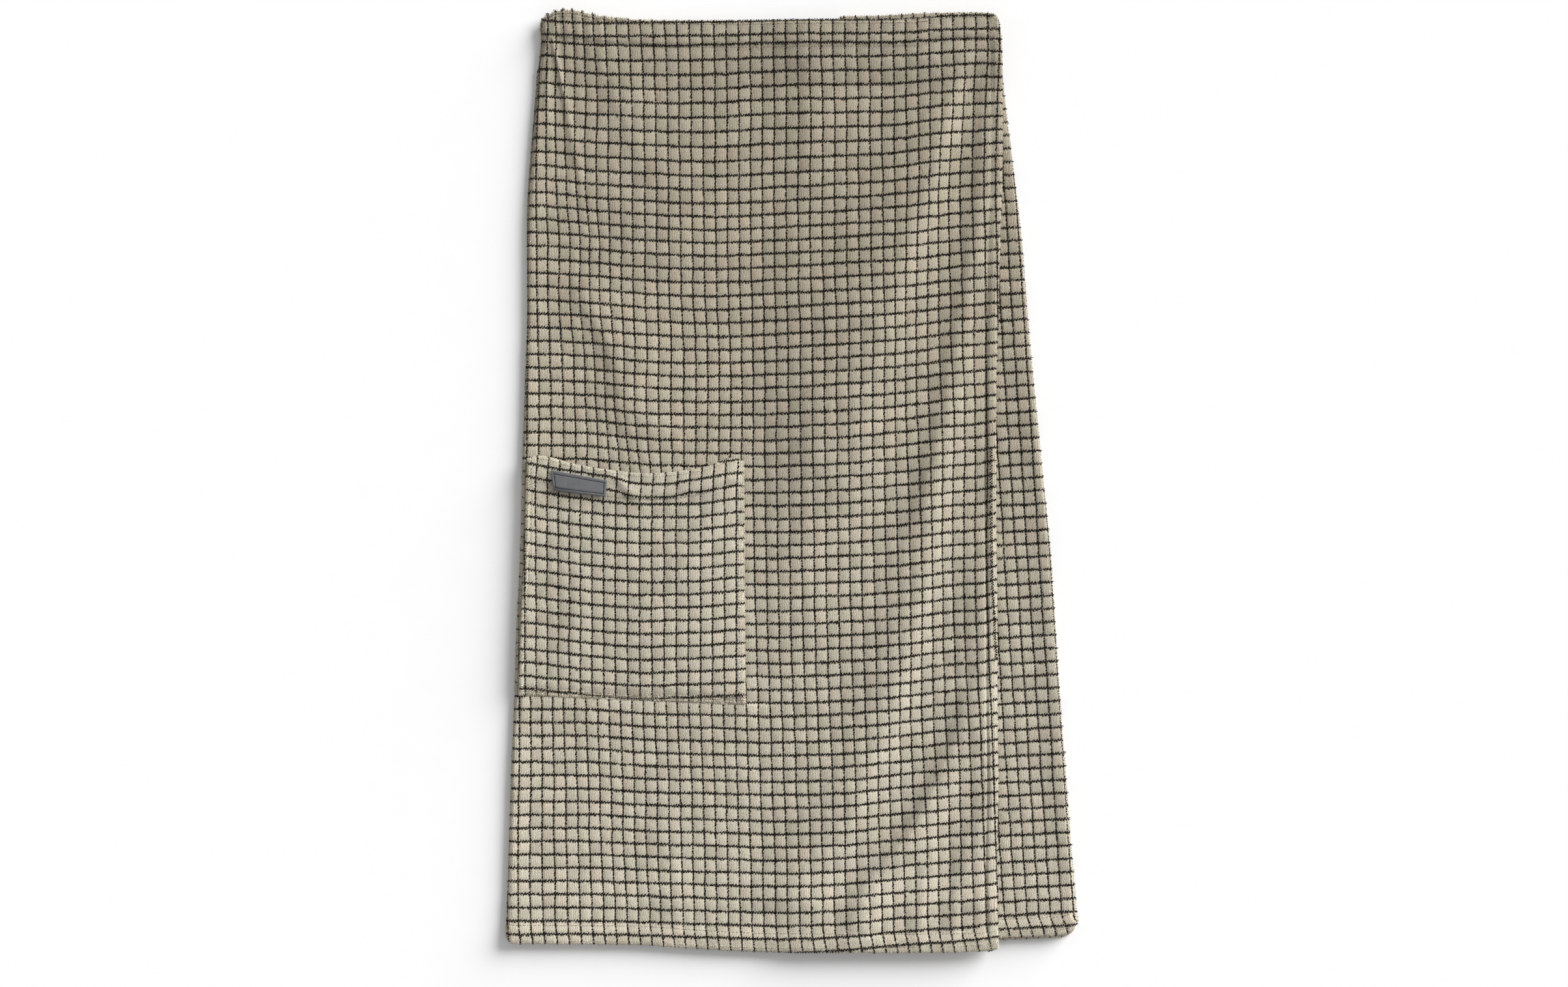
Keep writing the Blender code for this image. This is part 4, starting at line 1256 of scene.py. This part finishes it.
def knots(strands, how, shows):
    """Centres, frames and half sizes of the yarn knots along the check's lines."""
    found = []
    for strand in strands:
        places, count = stations(strand, how.pitch)
        if not count:
            continue
        side = unit(np.cross(places.normals, places.tangents))
        turn_about = np.where(np.arange(count) % 2, 1, -1)
        lean = np.radians(how.lean * (turn_about + chance.uniform(-0.5, 0.5, count)))[:, None]
        long = np.cos(lean) * places.tangents + np.sin(lean) * side
        sideways = how.apart * turn_about[:, None] + chance.uniform(-how.sway, how.sway, (count, 1))
        lift = how.lift + chance.uniform(-KNOT_RISE, KNOT_RISE, (count, 1))
        centres = places.points + sideways * side + lift * places.normals
        frames = np.stack([long, np.cross(places.normals, long), places.normals], 1)
        sizes = chance.uniform(*KNOT_SWELL, (count, 1)) * np.array([how.length, how.width, how.height]) / 2
        x, y, z = centres.T
        kept = (chance.random(count) > how.missing) & shows(x, WAIST_Y - y, z)
        found.append((centres[kept], frames[kept], sizes[kept]))
    return gathered(found)


# ---------------------------------------------------------------- materials


class Value:
    """A number or vector in a shader. Sums and products of them are nodes of their own."""

    def __init__(self, graph, socket):
        self.graph, self.socket = graph, socket

    def __add__(self, other):
        return self.graph.math("ADD", self, other)

    def __sub__(self, other):
        return self.graph.math("SUBTRACT", self, other)

    def __mul__(self, other):
        return self.graph.math("MULTIPLY", self, other)


class Graph:
    """Short names for the few shader nodes that the materials use."""

    def __init__(self, name, roughness, specular):
        self.made = bpy.data.materials.new(name)
        self.made.use_nodes = True
        self.tree = self.made.node_tree
        self.inputs = self.tree.nodes["Principled BSDF"].inputs
        self.inputs["Roughness"].default_value = roughness
        self.inputs["Specular IOR Level"].default_value = specular

    def join(self, value, socket):
        if isinstance(value, Value):
            self.tree.links.new(value.socket, socket)
        elif value is not None:
            socket.default_value = value

    def node(self, kind, values, output=0, **settings):
        """An output of a new node. Its first inputs take the values, but stay as they are for a None."""
        node = self.tree.nodes.new("ShaderNode" + kind)
        for name, value in settings.items():
            setattr(node, name, value)
        for value, socket in zip(values, node.inputs):
            self.join(value, socket)
        return Value(self, node.outputs[output])

    def math(self, operation, *values):
        return self.node("Math", values, operation=operation)

    def parts(self, vector):
        first = self.node("SeparateXYZ", [vector])
        return first, Value(self, first.socket.node.outputs[1])

    def vector(self, x, y, z=0.0):
        return self.node("CombineXYZ", (x, y, z))

    def noise(self, vector, scale, detail=2.0, roughness=0.5):
        return self.node("TexNoise", (vector, None, scale, detail, roughness), "Fac")

    def random(self, vector):
        return self.node("TexWhiteNoise", [vector], "Value")

    def remap(self, value, low, high, to_low=0.0, to_high=1.0, smooth=False):
        kind = "SMOOTHSTEP" if smooth else "LINEAR"
        return self.node("MapRange", (value, low, high, to_low, to_high), interpolation_type=kind)

    def mix(self, share, first, second, how="MIX"):
        values = (share, *[None] * 5, first, second)
        return self.node("Mix", values, 2, data_type="RGBA", blend_type=how, clamp_result=False)

    def finish(self, colour, height, depth, strength):
        """The material with its colour, and with a fine grain where it has a height."""
        self.join(colour, self.inputs["Base Color"])
        if height:
            node = self.tree.nodes.new("ShaderNodeBump")
            node.inputs["Distance"].default_value = depth
            node.inputs["Strength"].default_value = strength
            self.join(height, node.inputs["Height"])
            self.tree.links.new(node.outputs[0], self.inputs["Normal"])
        return self.made


def srgb(red, green, blue):
    """A colour given as it looks on a screen, 0 to 255."""
    values = [c / 255 for c in (red, green, blue)]
    return tuple(c / 12.92 if c <= 0.04045 else ((c + 0.055) / 1.055) ** 2.4 for c in values) + (1.0,)


RIBS = 7.0  # ribs of pile in a square
KNOTS = 5.0  # knots of a dark line in a square
ROW_KNOT_SHARE = 1.15  # how many more there are along a row line
WANDER = 0.05  # of the lines, in squares
SOFT = 0.24  # of the lines' edges, in millimetres
LINES_FADED = 0.70  # how dark a line still is where it is faint
PILE, PILE_PINK, PILE_GREEN = srgb(203, 195, 177), srgb(205, 193, 174), srgb(199, 193, 172)
DARK, DARK_WORN = srgb(14, 12, 9), srgb(38, 33, 26)
# Painted shade: the pile's colour darkens towards the waist, where the light falls off.
WAIST_PAINTED_SHADE = 0.75  # the cloth is darker towards its waist
# Painted shade: the lap and the back, which lie lower, are darker too.
BELOW_PAINTED_SHADE = 0.92  # and so are its lap and its back
BELOW_FROM, BELOW_TO = 43.2, 120.0  # between which lie their column numbers
WARM_TO, COOL_FROM = 14, 56  # row numbers: the upper half is a little warmer, too


def terry():
    """Looped pile in upright ribs, with the check's dark lines of knots, from a UV map in squares."""
    g = Graph("checked_terry", 0.95, 0.15)
    place = g.node("UVMap", [], uv_map="check")
    u, v = g.parts(place)
    wander = g.noise(place, 7.0, 1.0)
    wander_down = g.noise(g.vector(v, u, 3.7), 7.0, 1.0)
    u_moved = u + g.remap(wander, 0, 1, -WANDER, WANDER)
    v_moved = v + g.remap(wander_down, 0, 1, -WANDER, WANDER)
    to_column = g.math("PINGPONG", u_moved, 0.5) * (COLUMN / MM)
    to_row = g.math("PINGPONG", v_moved, 0.5) * (ROW / MM)

    # Half widths, in millimetres, that swell at each knot
    fine = g.noise(place, 26.0, 2.0)
    column_beads = g.math("SINE", v_moved * (KNOTS * 2 * math.pi))
    row_beads = g.math("SINE", u_moved * (KNOTS * ROW_KNOT_SHARE * 2 * math.pi))
    column_half = g.math("MULTIPLY_ADD", column_beads, 0.20, 0.36) + g.remap(fine, 0.35, 0.65, -0.40, 0.40)
    row_half = g.math("MULTIPLY_ADD", row_beads, 0.25, 0.38) + g.remap(fine, 0.35, 0.65, -0.55, 0.55)
    on_column = g.remap(column_half - to_column, -SOFT, SOFT, smooth=True)
    on_row = g.remap(row_half - to_row, -SOFT, SOFT, smooth=True)
    strength = g.remap(g.noise(place, 0.55, 2.0), 0.30, 0.45, LINES_FADED, 1.0)
    line = g.math("MAXIMUM", on_column, on_row) * strength

    # Pile, with a shade and a hue of its own in each square, painted shade in its grooves, towards the waist
    # and on the lap and the back, and painted highlight on its loops
    column, row = g.math("FLOOR", u), g.math("FLOOR", v)
    shade = g.random(g.vector(column, row))
    hue = g.random(g.vector(row, column, 5.0))
    rib_place = u * RIBS + g.remap(g.noise(place, 5.0, 3.0), 0, 1, -0.9, 0.9)
    rib = g.math("PINGPONG", rib_place, 0.5) * 2.0
    loops = g.noise(g.vector(u * 1.7, v), 24.0, 3.0, 0.68)
    broken = g.noise(g.vector(u, v, 8.1), 9.0, 2.0)
    pile = g.mix(g.remap(hue, 0.40, 0.0), g.mix(g.remap(hue, 0.60, 1.0), PILE, PILE_PINK), PILE_GREEN)
    # Painted shade towards the waist, and on the lap and the back
    below = g.math("GREATER_THAN", u, BELOW_FROM) * g.math("LESS_THAN", u, BELOW_TO)
    waist = g.remap(v, 0, 66, WAIST_PAINTED_SHADE, 1.01, smooth=True) * g.remap(below, 0, 1, 1.0, BELOW_PAINTED_SHADE)
    light = g.remap(shade, 0, 1, 0.90, 1.07) * g.remap(g.noise(place, 0.11, 2.0), 0.3, 0.7, 0.95, 1.05)
    # Painted shade in the grooves between the ribs of pile. The loops, which follow the bump's heights, add
    # painted highlight and shade on top of their own uneven tone.
    groove = g.remap(rib, 0.45, 0.0) * g.remap(broken, 0.35, 0.6)
    light = light * g.remap(groove, 0, 1, 1.06, 0.50) * g.remap(loops, 0.30, 0.70, 0.32, 1.62) * waist
    cool = g.remap(v, WARM_TO, COOL_FROM, smooth=True)
    green, blue = light * g.remap(cool, 0, 1, 0.972, 1.0), light * g.remap(cool, 0, 1, 0.935, 1.0)
    pile = g.mix(1.0, pile, g.vector(light, green, blue), "MULTIPLY")

    g.inputs["Sheen Weight"].default_value = 0.10
    g.inputs["Sheen Roughness"].default_value = 0.5
    g.inputs["Sheen Tint"].default_value = (0.95, 0.90, 0.80, 1)
    height = rib * 0.55 + loops * 0.9 + line * g.remap(fine, 0.3, 0.7, 0.2, 0.9)
    return g.finish(g.mix(line, pile, g.mix(g.remap(fine, 0.35, 0.7), DARK, DARK_WORN)), height, 0.0008, 0.9)


def leather():
    g = Graph("grey_patch", 0.62, 0.35)
    place = g.node("UVMap", [], uv_map="check")
    grain = g.noise(place, 900.0, 3.0, 0.6)
    colour = g.mix(g.remap(g.noise(place, 90.0, 2.0), 0.3, 0.7), srgb(98, 99, 101), srgb(112, 113, 115))
    colour = g.mix(g.remap(grain, 0.35, 0.7, 0.0, 0.35), colour, srgb(80, 81, 84))
    return g.finish(colour, grain, 0.0002, 0.6)


def yarn(name, colour, scale):
    """Twisted thread."""
    g = Graph(name, 0.9, 0.2)
    strands = g.noise(g.node("TexCoord", [], "Object"), scale, 2.0)
    dark = tuple(c * 0.45 for c in colour[:3]) + (1.0,)
    return g.finish(g.mix(g.remap(strands, 0.35, 0.65), dark, colour), strands, 0.0002, 0.5)


def paper():
    g = Graph("pale_floor", 0.9, 0.0)
    fleck = g.noise(g.node("TexCoord", [], "Object"), 40.0, 2.0)
    return g.finish(g.mix(fleck, (0.90, 0.90, 0.90, 1), (0.92, 0.92, 0.92, 1)), None, 0, 0)


# ---------------------------------------------------------------- the pieces

terry_cloth = terry()
grey_patch = leather()
dark_yarn = yarn("dark_yarn", srgb(24, 20, 15), 1400.0)
pale_thread = yarn("pale_thread", srgb(176, 168, 150), 2600.0)
dark_thread = yarn("dark_thread", srgb(52, 52, 54), 2600.0)

front, front_face = shell("front_panel_cloth", "front_panel", front_grid, terry_cloth)
lap, lap_face = shell("under_lap_cloth", "under_lap", lap_grid, terry_cloth)
back, back_face = shell("back_panel_cloth", "back_panel", back_grid, terry_cloth, facing=-1)
pocket, pocket_face = shell("pocket_cloth", "pocket", pocket_grid, terry_cloth)
label, label_face = shell("label_patch", "label", label_grid, grey_patch)

# ---------------------------------------------------------------- knots, tufts and stitches on them


def row_of(face, index):
    return Strand(*(array[index] for array in face))


def column_of(face, index):
    return Strand(*(array[:, index] for array in face))


def widest(face, sign, beside=0):
    """The line along a side fold where the cloth reaches farthest out, or one beside it."""
    at = np.argmax(face.normals[..., 0] * sign, axis=1) + beside
    rows = np.arange(len(at))
    return Strand(*(array[rows, np.clip(at, 0, array.shape[1] - 1)] for array in face))


def part_of(strand, low, high, axis=0):
    """The stretch of a strand between two values of x or of y."""
    kept = (strand.points[:, axis] > low) & (strand.points[:, axis] < high)
    return Strand(*(array[kept] for array in strand))


UNDER_POCKET = 0.003  # how far in under the pocket's rim the front still has its yarn
SEEN_LAP = 0.004  # how far in under the front the lap still has its yarn
SEEN_BACK = 0.0012  # how high on the side folds the back's yarn starts
POCKET_PALE = 0.0028  # at the pocket's foot, where its turned edge hides its yarn


def shows_on_front(x, down, z):
    covered = (x < pocket_right(down) - UNDER_POCKET) & (down > pocket_mouth_at(x) + 2 * UNDER_POCKET)
    return ~(covered & (down < pocket_foot(x) + UNDER_POCKET / 2))


def shows_on_lap(x, down, z):
    return (x > edge_at(down) - SEEN_LAP) | (down < -front_waist_at(x))


def shows_on_back(x, down, z):
    return ((x > right_spine(down)) | (x < left_spine(down))) & (z > SEEN_BACK)


def shows_on_pocket(x, down, z):
    return down < pocket_foot(x) - POCKET_PALE


CHAIN_DOWN = (0.390, 0.510, 0.585)
CHAIN_BESIDE = (0.0046, 0.0046, 0.0012)  # from the flap's edge


def flap_chain():
    """The column line that the flap's hem is folded on: a chain of dark loops beside its edge."""
    down = WAIST_Y - front_face.points[..., 1]
    beside = np.interp(down, CHAIN_DOWN, CHAIN_BESIDE)
    chain = strand_where(front_face, front_face.points[..., 0] - edge_at(down) + beside, 0)
    return part_of(chain, WAIST_Y - CHAIN_DOWN[-1], WAIST_Y - CHAIN_DOWN[0], axis=1)


def knotted(name, face, shows):
    """The knots of one stretch of cloth."""
    rows = knots(check_strands(face, 1), ROW_KNOTS, shows)
    columns = knots(check_strands(face, 0), COLUMN_KNOTS, shows)
    return [joined(name, dark_yarn, BEAD, *gathered([rows, columns]))]


front_rows = knots(check_strands(front_face, 1), ROW_KNOTS, shows_on_front)
front_columns = knots(check_strands(front_face, 0), COLUMN_KNOTS, shows_on_front)
front_columns = gathered([front_columns, knots([flap_chain()], CHAIN_KNOTS, shows_on_front)])
front_knots = [
    joined("front_yarn_rows", dark_yarn, BEAD, *front_rows),
    joined("front_yarn_columns", dark_yarn, BEAD, *front_columns),
]
lap_knots = knotted("lap_yarn_knots", lap_face, shows_on_lap)
back_knots = knotted("back_yarn_knots", back_face, shows_on_back)
pocket_knots = knotted("pocket_yarn_knots", pocket_face, shows_on_pocket)

Tufts = namedtuple("Tufts", "pitch shortest longest")
WAIST_TUFTS = Tufts(0.0011, 0.0010, 0.0022)
MOUTH_TUFTS = Tufts(0.0012, 0.0008, 0.0016)
FOOT_TUFTS = Tufts(0.0012, 0.0008, 0.0018)
SIDE_TUFTS = Tufts(0.0012, 0.0007, 0.0015)
POCKET_FOOT_TUFTS = Tufts(0.0008, 0.0014, 0.0026)
POCKET_SIDE_TUFTS = Tufts(0.0010, 0.0008, 0.0016)
FOLD_TUFTS = Tufts(0.0011, 0.0009, 0.0019)
RUFFLE_TUFTS = Tufts(0.0009, 0.0024, 0.0048)
RUFFLED = (-0.232, -0.150)  # between which x the waist is ruffled


def tuft_lines():
    """The lines that pile stands out along, on the rows and columns of points near the edges of the cloth."""
    every = (front_face, lap_face, pocket_face, back_face)
    for i in (1, 3, 5):
        yield from [(row_of(face, i), UP, WAIST_TUFTS) for face in (front_face, lap_face)]
        yield row_of(pocket_face, i), UP, MOUTH_TUFTS
        yield from [(row_of(face, -1 - i), DOWN, FOOT_TUFTS) for face in every]
        yield from [(column_of(face, -1 - i), RIGHT, SIDE_TUFTS) for face in (front_face, pocket_face)]
    for i in (1, 3, 4, 5, 6):
        yield row_of(pocket_face, -1 - i), DOWN, POCKET_FOOT_TUFTS
        yield column_of(pocket_face, -1 - i), RIGHT, POCKET_SIDE_TUFTS
        yield column_of(pocket_face, i), LEFT, POCKET_SIDE_TUFTS
    for beside in (-5, 0, 5):
        yield widest(front_face, -1, beside), LEFT, FOLD_TUFTS
        yield widest(lap_face, 1, beside), RIGHT, FOLD_TUFTS
    for i in (1, 2, 4):
        yield part_of(row_of(front_face, i), *RUFFLED), UP, RUFFLE_TUFTS


def tufts(uneven=0.45, up=0.35, spread_by=0.38, thin=0.00030, out=0.28, floor=0.0004):
    """Short ends of pile that stand out along edges, clear of the floor."""
    found = []
    for strand, outward, how in tuft_lines():
        places, count = stations(strand, how.pitch, uneven)
        if not count:
            continue
        aim = np.broadcast_to(outward, places.normals.shape) + up * places.normals
        aim = unit(aim + chance.normal(0, spread_by, (count, 3)))
        side = unit(np.cross(places.normals + 1e-4, aim))
        length = chance.uniform(how.shortest, how.longest, (count, 1))
        frames = np.stack([aim, side, np.cross(aim, side)], 1)
        sizes = np.concatenate([length / 2, np.full((count, 2), thin)], 1)
        kept = (places.points + aim * length)[:, 2] > floor
        centres = places.points + aim * length * out
        found.append([part[kept] for part in (centres, frames, sizes, places.check)])
    return gathered(found)


edge_pile = joined("edge_pile", terry_cloth, BEAD, *tufts())

YARN_THICK = 0.00050
YARN_WIDTH = (0.00045, 0.00085)
YARN_LENGTH = (0.55, 1.0)  # shares of the longest
YARN_SPREAD = 0.28
YARN_APART = 0.0006
RUFFLED_FADE = (-0.20, -0.14)
RUFFLED_MORE = 1.6  # how much more yarn stands out of the ruffles


def crossings(strand, axis):
    """The places where a strand crosses the check's column lines (axis 0) or its row lines (axis 1)."""
    numbers = strand.check[:, axis]
    for number in range(math.ceil(numbers.min()), math.floor(numbers.max()) + 1):
        yield np.array([np.interp(number, numbers, strand.points[:, k]) for k in range(3)])


def yarn_ends():
    """Dark yarn that stands out where lines of the check turn over an edge."""
    ends = []

    def add(place, outward, count, longest, apart=YARN_APART):
        for _ in range(count):
            aim = unit(outward + chance.normal(0, YARN_SPREAD, 3))
            shift = apart * chance.uniform(-1, 1, 3) * (1, 1, 0.6)
            side = unit(np.cross(aim, unit(chance.normal(0, 1, 3))))
            size = chance.uniform(*YARN_LENGTH) * longest
            width = chance.uniform(*YARN_WIDTH)
            frame = np.stack([side, np.cross(aim, side), aim])
            ends.append((place + shift, frame, (width, YARN_THICK, size)))

    for face, outward, longest, count in ((lap_face, RIGHT, 0.0024, 6), (front_face, LEFT, 0.0018, 4)):
        for place in crossings(widest(face, outward[0]), 1):
            add(place - outward * YARN_APART, outward, count, longest, 0.0007)
    for place in crossings(column_of(front_face, -3), 1):
        add(place, RIGHT, 3, 0.0010)
    edges = (
        (front_face, 2, UP, 0.0014, 3),
        (front_face, -3, DOWN, 0.0010, 2),
        (lap_face, -3, DOWN, 0.0010, 2),
        (lap_face, 2, UP, 0.0012, 3),
    )
    for face, index, outward, longest, count in edges:
        for place in crossings(row_of(face, index), 0):
            more = 1 + RUFFLED_MORE * (1 - ramp(place[0], *RUFFLED_FADE)) * (outward[1] > 0)
            add(place, outward, int(count * more), longest * more)
    return [np.array(part) for part in zip(*ends)]


edge_yarn = joined("edge_yarn", dark_yarn, arch(), *yarn_ends())

Seam = namedtuple("Seam", "face field value down")
Stitches = namedtuple("Stitches", "pitch share")  # and how much of it a stitch takes
CLOTH_STITCHES = Stitches(0.0034, 0.62)
LABEL_STITCHES = Stitches(0.0023, 0.94)
LABEL_SEAM_SPARE = 0.0003  # that a stitch at a corner may lie outside the other line
STITCH_THICK = 0.00028
STITCH_HIGH = 0.8  # shares of its thickness: how high it is
STITCH_OUT = 0.4  # and how far out its middle lies
STITCH_UNEVEN = 0.06
STITCH_SWAY = 0.05


def cloth_seams():
    """The lines of stitching on the cloth, each where a field on its face reaches a value."""
    (front_x, front_down), (lap_x, lap_down), (pocket_x, pocket_down) = (
        (face.points[..., 0], WAIST_Y - face.points[..., 1]) for face in (front_face, lap_face, pocket_face)
    )
    return (
        Seam(front_face, front_down + front_waist_at(front_x), WAIST_HEM, True),
        Seam(front_face, front_down - front_foot_at(front_x), -FOOT_HEM, True),
        Seam(lap_face, lap_down - lap_foot_at(lap_x), -FOOT_HEM, True),
        Seam(front_face, front_x - edge_at(front_down), -FLAP_HEM, False),
        Seam(pocket_face, pocket_down - pocket_mouth_at(pocket_x), POCKET_HEM, True),
        Seam(pocket_face, pocket_down - pocket_foot(pocket_x), -POCKET_TURN, True),
        Seam(pocket_face, pocket_x - pocket_right(pocket_down), -POCKET_TURN, False),
        Seam(pocket_face, pocket_x - left_spine(pocket_down), POCKET_TURN, False),
    )


def label_seams():
    s, t = label_face.check[..., 0], label_face.check[..., 1]
    for field, size, down in ((t, LABEL_HEIGHT, True), (s, LABEL_WIDTH, False)):
        yield from [Seam(label_face, field, value, down) for value in (LABEL_SEAM, size - LABEL_SEAM)]


def inside_label_seam(places):
    s, t = places.check[:, 0], places.check[:, 1]
    spare = LABEL_SEAM - LABEL_SEAM_SPARE
    return (s > spare) & (s < LABEL_WIDTH - spare) & (t > spare) & (t < LABEL_HEIGHT - spare)


def stitched(name, look, seams, how, slot="terry", shows=lambda places: slice(None)):
    found = []
    for seam in seams:
        places, count = stations(strand_where(*seam), how.pitch, STITCH_UNEVEN)
        side = unit(np.cross(places.normals, places.tangents))
        long = unit(places.tangents + chance.uniform(-STITCH_SWAY, STITCH_SWAY, (count, 1)) * side)
        frames = np.stack([long, np.cross(places.normals, long), places.normals], 1)
        sizes = np.tile([how.pitch * how.share / 2, STITCH_THICK, STITCH_THICK * STITCH_HIGH], (count, 1))
        kept = shows(places)
        centres = places.points + places.normals * STITCH_THICK * STITCH_OUT
        found.append((centres[kept], frames[kept], sizes[kept]))
    return joined(name, look, capsule(), *gathered(found), slot=slot)


seam_thread = stitched("seam_thread", pale_thread, cloth_seams(), CLOTH_STITCHES)
label_thread = stitched(
    "label_thread", dark_thread, label_seams(), LABEL_STITCHES, "label", inside_label_seam
)

# ---------------------------------------------------------------- floor, light and camera

FLOOR_SIZE = 12.0
FLOOR_SPARE = 0.0002  # it lies this far below the cloth
bpy.ops.mesh.primitive_plane_add(size=FLOOR_SIZE, location=(0, 0, -FLOOR_SPARE))
floor = bpy.context.object
floor.name = "floor"
floor.data.materials.append(paper())

SKY = 0.44
KEY = 6.05
KEY_FROM = 52  # degrees from the waist's side round to the right
KEY_UP = 20
KEY_SOFTNESS = 40

world = bpy.data.worlds.new("studio")
world.use_nodes = True
sky = world.node_tree.nodes["Background"]
sky.inputs["Color"].default_value = (1, 1, 1, 1)
sky.inputs["Strength"].default_value = SKY
bpy.context.scene.world = world
bpy.context.scene.view_settings.view_transform = "Standard"

key = bpy.data.lights.new("key", "SUN")
key.energy = KEY
key.angle = math.radians(KEY_SOFTNESS)
lamp = bpy.data.objects.new("key", key)
lamp.rotation_mode = "QUATERNION"
around, up = math.radians(KEY_FROM), math.radians(KEY_UP)
towards = Vector((math.sin(around) * math.cos(up), math.cos(around) * math.cos(up), math.sin(up)))
lamp.rotation_quaternion = towards.to_track_quat("Z", "Y")
bpy.context.scene.collection.objects.link(lamp)

LENS = 85
SENSOR = 36
VIEW_WIDTH = 2408 * PIXEL
VIEW_X = -0.0080
VIEW_Y = -0.0106
CLOTH_TOP = 0.008
camera = bpy.data.cameras.new("camera")
camera.lens = LENS
camera.sensor_width = SENSOR
eye = bpy.data.objects.new("camera", camera)
eye.location = (VIEW_X, VIEW_Y, CLOTH_TOP + VIEW_WIDTH * LENS / SENSOR)
bpy.context.scene.collection.objects.link(eye)
bpy.context.scene.camera = eye
